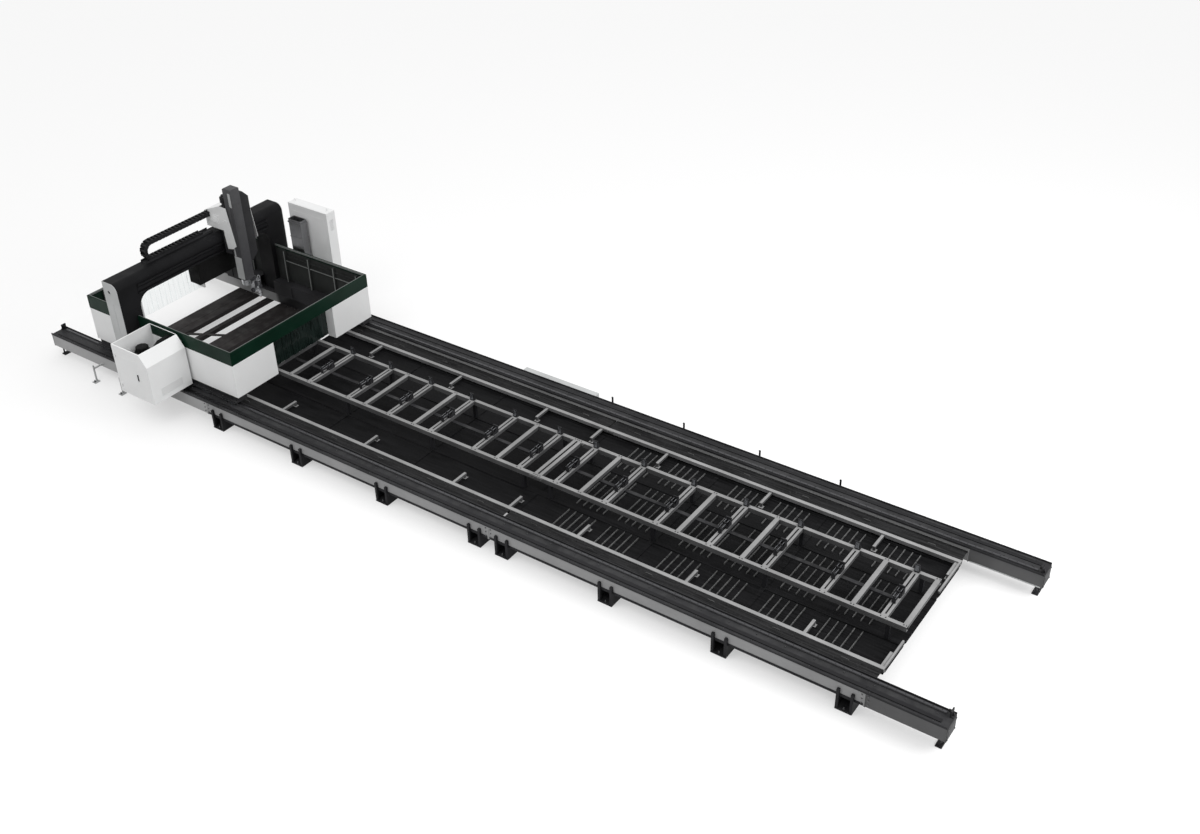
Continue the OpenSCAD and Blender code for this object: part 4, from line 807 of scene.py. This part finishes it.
def energy_chains():
    energy_chain("long_chain", "x_chain", "xz", 0.040,
                 (BOX["x_chain"][1].x, -6.402), 12, (0.075, 0.03),
                 (-0.018, -0.004, 0.008, 0.021), 0.0065)
    energy_chain("beam_chain", "y_chain", "yz", 0.070,
                 (0.2, BOX["y_chain"][1].y), 11, (0.075, 0.075),
                 (-0.044, -0.026, -0.006, 0.012, 0.028, 0.046), 0.0085)

    Shape().slab((steps(-7.2, 7.35, 0.97), (1.884, 1.986), 0.3315),
                 (0.05, 0.012, 0.003)).make("trough_clips", BED, "frame_dark", 0.0006)
    screws = Shape().screw(((-0.65, -0.15, 0.3, 0.8), (1.895, 1.975), 0.422), UP, 0.012)
    screws.slab((0.07, 1.878, 0.375), (0.74, 0.004, 0.07))
    screws.make("junction_screws", BED, "light_metal")


# Hood


def curtains():
    """Overlapping flexible strips with a soft wave, in place of the flat ones."""
    lo, hi = BOX["curtain_strips"]
    count, rows, cols = 13, 14, 8
    overlap, thick = 0.006, 0.004
    step = (hi.y - lo.y) / count
    layer = (rows + 1) * (cols + 1)
    border = list(range(cols + 1))
    border += [(r + 1) * (cols + 1) + cols for r in range(rows)]
    border += [rows * (cols + 1) + c for c in range(cols - 1, -1, -1)]
    border += [r * (cols + 1) for r in range(rows - 1, 0, -1)]
    faces = []
    for r, c in product(range(rows), range(cols)):
        a = r * (cols + 1) + c
        b = a + cols + 1
        faces += [(a, b, b + 1, a + 1), (a + layer, a + 1 + layer, b + 1 + layer, b + layer)]
    faces += [(a, b, b + layer, a + layer) for a, b in zip(border, border[1:] + border[:1])]
    for tag, x, look in (("front", hi.x - 0.002, "curtain"),
                         ("rear", lo.x + 0.002, "curtain_clear")):
        shape = Shape()
        for k in range(count):
            y0 = lo.y + k * step - (overlap if k else 0.0)
            y1 = lo.y + (k + 1) * step + (overlap if k < count - 1 else 0.0)
            depth = 0.0025 if k % 2 else -0.0025
            phase = rng.uniform(0, 6.28)
            points = []
            for face, r, c in product(SIDES, range(rows + 1), range(cols + 1)):
                t, u = r / rows, c / cols
                bow = 0.0035 * math.sin(math.pi * u) * (0.3 + 0.7 * (1 - t))
                sway = 0.003 * math.sin(3.0 * t + phase) * (1 - t)
                points.append((x + depth + bow + sway + face * thick / 2, y0 + (y1 - y0) * u,
                               lo.z + (hi.z - lo.z) * t))
            shape.add(points, faces)
        obj = shape.make("curtain_" + tag, "gantry", look, slot="curtain")
        if tag == "front":
            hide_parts("curtain_strips")


def hood_screws(rows, pitch, end_spans, end_pitch):
    """Screws along the rows of the hood's two long walls and two end walls."""
    shape = Shape()
    for s, (a, b) in product(SIDES, ((HOOD_REAR + 0.09, PORTAL_BACK - 0.07),
                                     (PORTAL_FRONT + 0.07, HOOD_FRONT - 0.08))):
        shape.screw((steps(a, b, pitch), s * WALL_OUT, rows), (0, s, 0), 0.013)
    for (x, e), (a, b) in product(HOOD_ENDS, end_spans):
        shape.screw((x, steps(a, b, end_pitch), rows), (e, 0, 0), 0.013)
    return shape


def hood_fittings():
    """Rim edging, light posts over the lining's ribs, rails, screws and folded joints."""
    wall, top, sheet = 1.577, 1.461, 0.03
    light = Shape()
    for s in SIDES:
        for a, b in ((HOOD_REAR + sheet, -6.53), (-6.16, HOOD_FRONT - sheet)):
            light.slab(((a + b) / 2, s * (wall + 0.004), top + 0.002), (b - a, 0.008, 0.004))
            light.slab(((a + b) / 2, s * (wall - 0.003), top - 0.014), (b - a, 0.006, 0.028))
        light.slab(((-7.2, -6.8, -5.9, -5.29, -4.66, -4.1), s * 1.524, 1.078),
                   (0.022, 0.006, 0.63))
        for a, b in ((-5.88, -5.31), (-5.27, -4.68), (-4.64, -4.12)):
            light.slab(((a + b) / 2, s * 1.541, 1.202), (b - a, 0.012, 0.012))
    ribs = Shape()
    for end, e in HOOD_ENDS:
        x = end - e * sheet
        light.slab((x + e * 0.004, 0, top + 0.002), (0.008, 3.154, 0.004))
        light.slab((x - e * 0.003, 0, top - 0.014), (0.006, 3.14, 0.028))
        for ys, low in ((mirrored(0.95, 1.3), 0.62), (mirrored(0.35), 1.22)):
            ribs.slab((x - e * 0.0125, ys, (low + 1.40) / 2), (0.025, 0.04, 1.40 - low))
        ribs.slab((x - e * 0.009, 0, 1.235), (0.018, 3.0, 0.03))
        for y0, y1 in ((-1.5, -0.86), (0.87, 1.5)):
            ribs.slab((x - e * 0.009, (y0 + y1) / 2, 0.64), (0.018, y1 - y0, 0.03))
    light.make("rim_edging", "gantry", "post_light", 0.0008, "light_metal")
    ribs.make("end_wall_ribs", "gantry", "lining", 0.0015)

    hood_screws(SCREW_ROWS, 0.42, ((-1.56, -0.74), (0.75, 1.56)),
                0.4).make("panel_screws", "gantry", "panel_white")
    band = hood_screws(BAND_ROWS, 0.6, ((-1.56, 1.56),), 0.62)
    for x, e in HOOD_ENDS:
        band.slab((x - e * 0.004, mirrored(1.603), 1.338), (0.01, 0.01, 0.244))
    band.make("band_screws", "gantry", "band_green")

    rails = Shape()
    for x, e in ((-4.067, 1), (-7.339, -1)):
        rails.bolt((x, steps(-0.64, 0.645, 0.214), 1.135), (e, 0, 0), 0.014)
    rails.make("curtain_bolts", "gantry", "bolt")


# Gantry

PORTAL_FACES = ((PORTAL_FRONT, 1), (PORTAL_BACK, -1))


def truck_fittings():
    """Bolts, gussets and thin posts along the gantry's feet."""
    bolts, dark = Shape(), Shape()
    plate_z = 0.52
    for s in SIDES:
        bolts.bolt(((-6.63, -6.57, -6.09, -6.03, -5.93), (s * 1.79, s * 1.68), plate_z),
                   UP, 0.028)
        for a, b in ((-7.40, -6.60), (-5.78, -4.0)):
            bolts.bolt((steps(a, b, 0.3), s * 1.61, plate_z), UP, 0.018)
        dark.slab(([x for x in steps(-7.3, -4.1, 0.8) if not -6.6 < x < -6.1],
                   s * 1.394, 0.64), (0.012, 0.012, 0.22))
        for y, (x, e) in product((1.60, 1.76), PORTAL_FACES):
            points = []
            for w in (s * y - 0.006, s * y + 0.006):
                points += [(x, w, plate_z), (x + e * 0.13, w, plate_z), (x, w, 0.80)]
            dark.add(points, [(0, 1, 2), (5, 4, 3), (0, 3, 4, 1), (1, 4, 5, 2), (2, 5, 3, 0)])
    bolts.make("foot_bolts", "gantry", "bolt")
    dark.make("foot_gussets", "gantry", "slide_dark")


def portal_fittings():
    caps = Shape()
    caps.turned((PORTAL_FRONT + 0.0258, steps(-1.44, 1.44, 0.12), (1.84, 1.98)),
                (1, 0, 0), CAP, 10)
    caps.make("beam_guide_caps", "gantry", "rail_dark", slot="guide_steel")

    plates = Shape()
    for y, (x, e) in product(mirrored(1.68), PORTAL_FACES):
        plates.slab((x + e * 0.002, y, 1.1), (0.004, 0.29, 0.95))
        plates.screw((x + e * 0.004, (y - 0.125, y + 0.125), (0.66, 1.1, 1.54)),
                     (e, 0, 0), 0.014)
    ys = (-1.15, -0.4, 0.4, 1.15)
    plates.slab((PORTAL_BACK - 0.002, ys, 1.975), (0.004, 0.5, 0.2))
    plates.screw((PORTAL_BACK - 0.004, beside(ys, -0.22, 0.22), (1.895, 2.055)),
                 (-1, 0, 0), 0.014)
    plates.make("portal_plates", "gantry", "beam_black", 0.001)

    rings = Shape()
    for s in SIDES:
        rings.tube(arc((-6.378, s * 1.886, 1.977), 0.034, 0, 360, 28), 0.004, 8)
        rings.screw(((-6.49, -6.2), s * 1.885, (0.6, 1.2, 1.8)), (0, s, 0), 0.016)
        rings.slab((-6.345, s * 1.8865, 1.45), (0.012, 0.003, 0.62))
    rings.make("cheek_trim", "gantry", "light_metal")

    tray = Shape()
    tray.slab((PORTAL_BACK - 0.035, 0, 1.83), (0.07, 2.7, 0.004))
    tray.slab((PORTAL_BACK - 0.069, 0, 1.85), (0.003, 2.7, 0.04))
    tray.slab((PORTAL_BACK - 0.03, steps(-1.3, 1.3, 0.65), 1.824), (0.06, 0.03, 0.008))
    tray.make("beam_cable_tray", "gantry", "frame_dark", 0.0008, "slide_dark")
    lines = Shape()
    for i, r in enumerate((0.011, 0.008, 0.008, 0.012)):
        x, z = PORTAL_BACK - 0.012 - i * 0.0145, 1.834 + r
        middle = [(x, y, z + 0.0006 * math.sin(3 * y + i)) for y in steps(-1.2, 1.2, 0.12)]
        lines.tube([(x, -1.33, z), *middle, (x, 1.33, z)], r, 8)
    lines.make("beam_tray_cables", "gantry", "cable")

    trims = Shape().slab(((-6.5125, -6.3575), -0.325, 2.1875), (0.007, 1.46, 0.003))
    trims.screw((-6.435, steps(-0.95, 0.3, 0.31), 2.154), UP, 0.012)
    trims.make("beam_tray_trim", "gantry", "slide_dark", 0.0006, "light_metal")

    box, box_x = Shape(), -6.26
    for y, e in ((-0.152, -1), (0.952, 1)):
        box.screw(((-6.48, -6.38, -6.29), y, (1.40, 1.76)), (0, e, 0), 0.012)
    box.slab((box_x + 0.003, 0.4, 1.575), (0.006, 1.02, 0.36))
    box.slab((box_x + 0.008, 0.4, 1.575), (0.004, 0.9, 0.24))
    box.screw((box_x + 0.006, steps(-0.06, 0.86, 0.23), (1.42, 1.73)), (1, 0, 0), 0.012)
    box.make("extraction_box_cover", "gantry", "duct", 0.001)


# Cross slide, ram and head


def slide_fittings():
    near, far = 0.43, 0.95
    white = Shape()
    for side, s in ((near, -1), (far, 1)):
        y, head = side + s * 0.0015, side + s * 0.003
        white.slab((-6.3, y, 2.41), (0.3, 0.003, 0.17))
        white.slab((-6.0, y, 2.22), (0.11, 0.003, 0.46))
        white.screw(((-6.43, -6.17), head, (2.34, 2.48)), (0, s, 0), 0.013)
        white.screw(((-6.04, -5.96), head, (2.02, 2.22, 2.42)), (0, s, 0), 0.013)
        white.slab((-6.3, side + s * 0.0045, [2.355 + k * 0.022 for k in range(6)]),
                   (0.2, 0.005, 0.007))
    white.screw((-6.5, steps(near + 0.05, far - 0.05, 0.21), (2.27, 2.5)), (-1, 0, 0), 0.013)
    white.slab((-6.503, (near + far) / 2, 2.385), (0.004, 0.3, 0.13))
    white.make("slide_cover_trim", "cross_slide", "panel_white", 0.0008)

    dark, steel = Shape(), Shape()
    x, y, z = -6.045, 0.52, 2.74
    dark.slab((x, y, [z + 0.012 + k * 0.015 for k in range(7)]), (0.1, 0.1, 0.005))
    dark.turned((x, y, z + 0.12), UP, [(0, 0.04), (0.02, 0.04), (0.03, 0.034), (0.034, 0.02)], 24)
    dark.turned((x, y + 0.084, 2.79), (0, 1, 0), [(0, 0.013), (0.02, 0.013), (0.03, 0.008)], 14)
    dark.tube([(-6.435, 0.424, 2.50), (-6.435, 0.424, 2.53), (-6.42, 0.424, 2.55)], 0.012, 10)
    steel.bolt(((-6.48, -6.39), 0.418, 2.515), (0, -1, 0), 0.016)
    steel.screw(((x - 0.036, x + 0.036), (y - 0.036, y + 0.036), z + 0.12), UP, 0.012)
    steel.bolt((-6.02, (0.475, 0.905), 2.69), UP, 0.02)
    dark.make("ram_motor_parts", "cross_slide", "slide_dark", 0.001)
    steel.make("slide_bolts", "cross_slide", "bolt", slot="block_steel")


def ram_fittings():
    x, y = RAM_X, RAM_Y
    trim = Shape()
    for z0, z1 in ((1.40, 1.86), (1.875, 2.33), (2.345, 2.80)):
        trim.slab((x + 0.1015, y - 0.005, (z0 + z1) / 2), (0.003, 0.15, z1 - z0))
        trim.screw((x + 0.103, (y - 0.06, y + 0.05), (z0 + 0.03, z1 - 0.03)),
                   (1, 0, 0), 0.013)
    trim.slab((x, y, 3.053), (0.18, 0.18, 0.006))
    for d in (-0.1025, 0.1025):
        trim.slab((x + d, y, 1.334), (0.005, 0.21, 0.028))
        trim.slab((x, y + d, 1.334), (0.2, 0.005, 0.028))
    trim.slab((x, y - 0.103, 2.3), (0.07, 0.006, 0.9))
    trim.make("ram_strips", "ram", "ram_grey", 0.001)

    light = Shape()
    light.slab((x - 0.055, y - 0.1015, 1.93), (0.034, 0.003, 0.32))
    light.slab((x + 0.05, y - 0.1015, 2.86), (0.06, 0.003, 0.26))
    light.turned(((x - 0.065, x + 0.065), y - 0.106, (1.36, 1.55, 1.73)),
                 (0, -1, 0), [(0, 0.006), (0.0012, 0.005)], 14)
    light.make("ram_light_plates", "ram", "light_metal", 0.0008)

    cover, levels = Shape(), steps(1.78, 2.80, 0.255)
    cover.slab((x + 0.0815, 0.745, levels), (0.003, 0.18, 0.012))
    cover.slab((x, 0.8415, levels), (0.15, 0.003, 0.012))
    cover.screw((x + 0.08, (0.672, 0.818), (1.84, 2.1, 2.35, 2.6)), (1, 0, 0), 0.012)
    cover.slab((x + 0.082, 0.745, [1.86 + k * 0.022 for k in range(7)]),
               (0.004, 0.1, 0.008))
    cover.make("side_cover_trim", "ram", "slide_dark", 0.0008)

    pipes, clips = Shape(), Shape()
    for px, r in ((x - 0.045, 0.009), (x - 0.015, 0.009), (x + 0.016, 0.011)):
        clear = 0.8415 + r + 0.004
        pipes.tube([(px, clear, 2.74), (px, clear, 1.765), (px, clear - 0.006, 1.738),
                    (px, 0.832, 1.718), (px, 0.80, 1.715)], r, 10)
        pipes.tube([(px, clear, 2.735), (px, clear - 0.01, 2.775), (px, 0.81, 2.80)], r, 10)
    levels = (1.85, 2.1, 2.35, 2.6)
    clips.slab((x - 0.015, 0.8445, levels), (0.11, 0.006, 0.02))
    clips.slab((x - 0.015, 0.868, levels), (0.11, 0.004, 0.018))
    pipes.make("ram_pipes", "ram", "cable")
    clips.make("ram_pipe_clips", "ram", "frame_dark", 0.001, "slide_dark")


def head_fittings():
    x, y = RAM_X, RAM_Y
    ring = Shape()
    ring.turned((x, y, 1.296), UP, [(0, 0.0935), (0.006, 0.0935)], 48)
    for px, py, c, s in around(x, y, 0.091, 12, 0.2):
        ring.screw((px, py, 1.25), (c, s, 0), 0.011)
    for e in SIDES:
        ring.slab((x + e * 0.0495, 0.67, 1.255), (0.003, 0.07, 0.07))
        ring.slab((x + e * 0.0495, 0.6875, 1.12), (0.003, 0.044, 0.13))
        ring.screw((x + e * 0.051, (0.645, 0.695), (1.23, 1.28)), (e, 0, 0), 0.009)
    ring.turned((x, 0.66, 1.01), (0, -1, 0),
                [(0, 0.044), (0.012, 0.044), (0.016, 0.038), (0.03, 0.038), (0.033, 0.03)], 28)
    ring.make("swivel_trim", "swivel", "head_dark", 0.0006, "head_silver")

    y = HEAD_Y
    trim, bright = Shape(), Shape()
    for z, r, h in ((0.885, 0.040, 0.008), (0.90, 0.040, 0.004), (0.975, 0.041, 0.012),
                    (1.06, 0.041, 0.01), (1.12, 0.0405, 0.022)):
        trim.turned((x, y, z), UP, [(0, r - 0.002), (0.002, r), (h - 0.002, r), (h, r - 0.002)], 32)
    for px, py, _, _ in around(x, y, 0.0385, 16):
        trim.slab((px, py, 1.095), (0.006, 0.006, 0.024))
    trim.slab((x + 0.045, y, 1.03), (0.03, 0.044, 0.05))
    trim.slab((x + 0.0615, y, 1.03), (0.003, 0.05, 0.056))
    trim.turned((x + 0.063, y, 1.03), (1, 0, 0), button(0.008, 0.008), 14)
    trim.slab((x - 0.044, y, 1.0), (0.024, 0.04, 0.09))
    trim.slab((x, 0.745, 1.056), (0.05, 0.02, 0.02))
    trim.make("head_trim", "cutting_head", "head_dark", 0.0005, "head_silver")
    for z, r0, r1 in ((0.813, 0.0215, 0.019), (0.8215, 0.0235, 0.0235)):
        bright.turned((x, y, z), UP, [(0, r0 - 0.003), (0.002, r0), (0.006, r1),
                                      (0.0075, r1 - 0.002)], 28)
    bright.turned((x, y, 1.176), UP, [(0, 0.022), (0.012, 0.022), (0.014, 0.014), (0.03, 0.014),
                                      (0.034, 0.01)], 22)
    bright.tube([(x, y + dy, z) for dy, z in (
        (0, 1.20), (0, 1.22), (0.010, 1.236), (0.03, 1.24), (0.047, 1.228), (0.052, 1.20),
        (0.052, 1.10), (0.045, 1.076), (0.034, 1.07))], 0.007, 10)
    bright.tube([(x + 0.03, y - 0.012, 0.87), (x + 0.05, y - 0.02, 0.872),
                 (x + 0.056, y - 0.026, 0.885), (x + 0.056, y - 0.04, 0.96),
                 (x + 0.04, 0.732, 0.975), (x + 0.03, 0.728, 0.975)], 0.004, 8)
    bright.turned((x + 0.026, y - 0.01, 0.87), (1, -0.35, 0), button(0.007, 0.008), 10)
    bright.make("head_lines", "cutting_head", "head_silver")


# Cabinets


def door_fittings(name, handle_at, s, handle_length, screws, panel_size):
    """Handle with its lock, corner screws and raised panel of a door that faces side s."""
    x, y, z = handle_at
    handle = Shape()
    handle.slab((x, y - s * 0.004, z), (0.03, 0.012, handle_length))
    handle.turned((x, y - s * 0.002, z - 0.05), (0, s, 0), [(0, 0.01), (0.004, 0.01),
                                                            (0.006, 0.008)], 16)
    handle.make(name + "_handle", name, "frame_dark", 0.002, "slide_dark")
    seam, (xs, zs), (px, pz, width, height) = Shape(), screws, panel_size
    seam.screw((xs, y, zs), (0, s, 0), 0.012)
    seam.slab((px, y + s * 0.001, pz), (width, 0.002, height))
    seam.make(name + "_trim", name, "panel_white", 0.0006)


def near_cabinet_fittings():
    outer = -2.45
    white, dark = Shape(), Shape()
    white.screw((steps(-5.79, -5.01, 0.39), outer, 0.56), (0, -1, 0), 0.013)
    white.screw((-4.985, (-2.42, -1.68), (0.62, 0.9, 1.2)), (1, 0, 0), 0.013)
    white.slab((-5.1, outer - 0.001, 1.0), (0.16, 0.002, 0.5))
    white.slab((-5.475, (-2.448, -1.652), 1.4515), (0.64, 0.012, 0.003))
    white.make("near_cabinet_trim", "gantry", "panel_white", 0.0008)

    x, y = -5.62, -2.02
    dark.turned((x, y, 1.0), UP, [(0, 0.15), (0.1, 0.15), (0.115, 0.14), (0.16, 0.14),
                                  (0.17, 0.1), (0.25, 0.1), (0.262, 0.07)], 32)
    for px, py, _, _ in around(x, y, 0.105, 10):
        dark.slab((px, py, 1.215), (0.01, 0.01, 0.07))
    dark.turned((x, y, 0.68), UP, [(0, 0.12), (0.33, 0.12)], 28)
    dark.slab((x, y, 0.63), (0.3, 0.3, 0.14))
    dark.tube([(-5.52, y, 1.05), (-5.40, y, 1.06), (-5.31, -2.03, 1.10), (-5.25, -2.05, 1.18),
               (-5.24, -2.06, 1.29), (-5.26, -2.0, 1.355), (-5.30, -1.9, 1.37),
               (-5.34, -1.72, 1.35), (-5.36, -1.66, 1.34)], 0.042, 16)
    dark.make("blower", "gantry", "duct", 0.002)
    door_fittings("near_door", (-5.273, outer, 0.97), -1, 0.11,
                  ((-5.72, -5.25), (0.64, 1.33)), (-5.4825, 0.985, 0.38, 0.56))


def far_cabinet_fittings():
    trim = Shape().screw((-4.98, (1.87, 2.04), steps(0.58, 2.21, 0.4)), (1, 0, 0), 0.013)
    trim.slab((-5.46, 1.849, 1.42), (0.8, 0.002, 1.4))
    trim.slab((-5.46, 1.955, 2.2515), (0.9, 0.16, 0.003))
    for x in (-5.86, -5.06):
        trim.turned((x, 1.955, 2.25), UP, [(0, 0.02), (0.012, 0.02), (0.014, 0.016)], 18)
        trim.tube(arc((x, 1.955, 2.284), 0.016, 0, 360, 20), 0.005, 8)
    trim.make("far_cabinet_trim", "gantry", "panel_white", 0.0008)
    door_fittings("far_door", (-5.103, 2.06, 1.325), 1, 0.12,
                  ((-5.83, -5.09), (0.66, 1.4, 2.14)), (-5.46, 1.395, 0.6, 1.3))

    riser, x = Shape(), -5.62
    riser.bolt((steps(-5.76, -5.48, 0.07), (1.644, 1.806), 2.004), UP, 0.011)
    riser.slab((x, 1.725, (0.9, 1.3, 1.7)), (0.312, 0.162, 0.02))
    riser.slab(((-5.77, -5.47), 1.725, 2.048), (0.006, 0.15, 0.006))
    riser.slab((x, 1.83, (1.15, 1.75)), (0.2, 0.045, 0.04))
    riser.make("riser_trim", "gantry", "pipe_grey", 0.0008)

    arms = Shape().bolt(((-5.695, -5.105), (-1.9, -2.3), 0.5), (0, 0, -1), 0.022)
    arms.bolt(((-5.82, -5.10), (1.72, 1.93), 0.5), (0, 0, -1), 0.022)
    arms.make("arm_bolts", "gantry", "bolt")


make_camera()
make_world()
make_floor()
area_light("key", (-2, -9, 14), (0, 0, 0), 9.0, 420)
area_light("fill", (14, 3, 9), (-4, 0, 0), 10.0, 1150)
dress_nodes()
for fittings in (rail_fittings, bed_fittings, clamps, energy_chains, curtains, hood_fittings,
                 truck_fittings, portal_fittings, slide_fittings, ram_fittings, head_fittings,
                 near_cabinet_fittings, far_cabinet_fittings):
    fittings()

bpy.context.scene.view_settings.view_transform = "Standard"
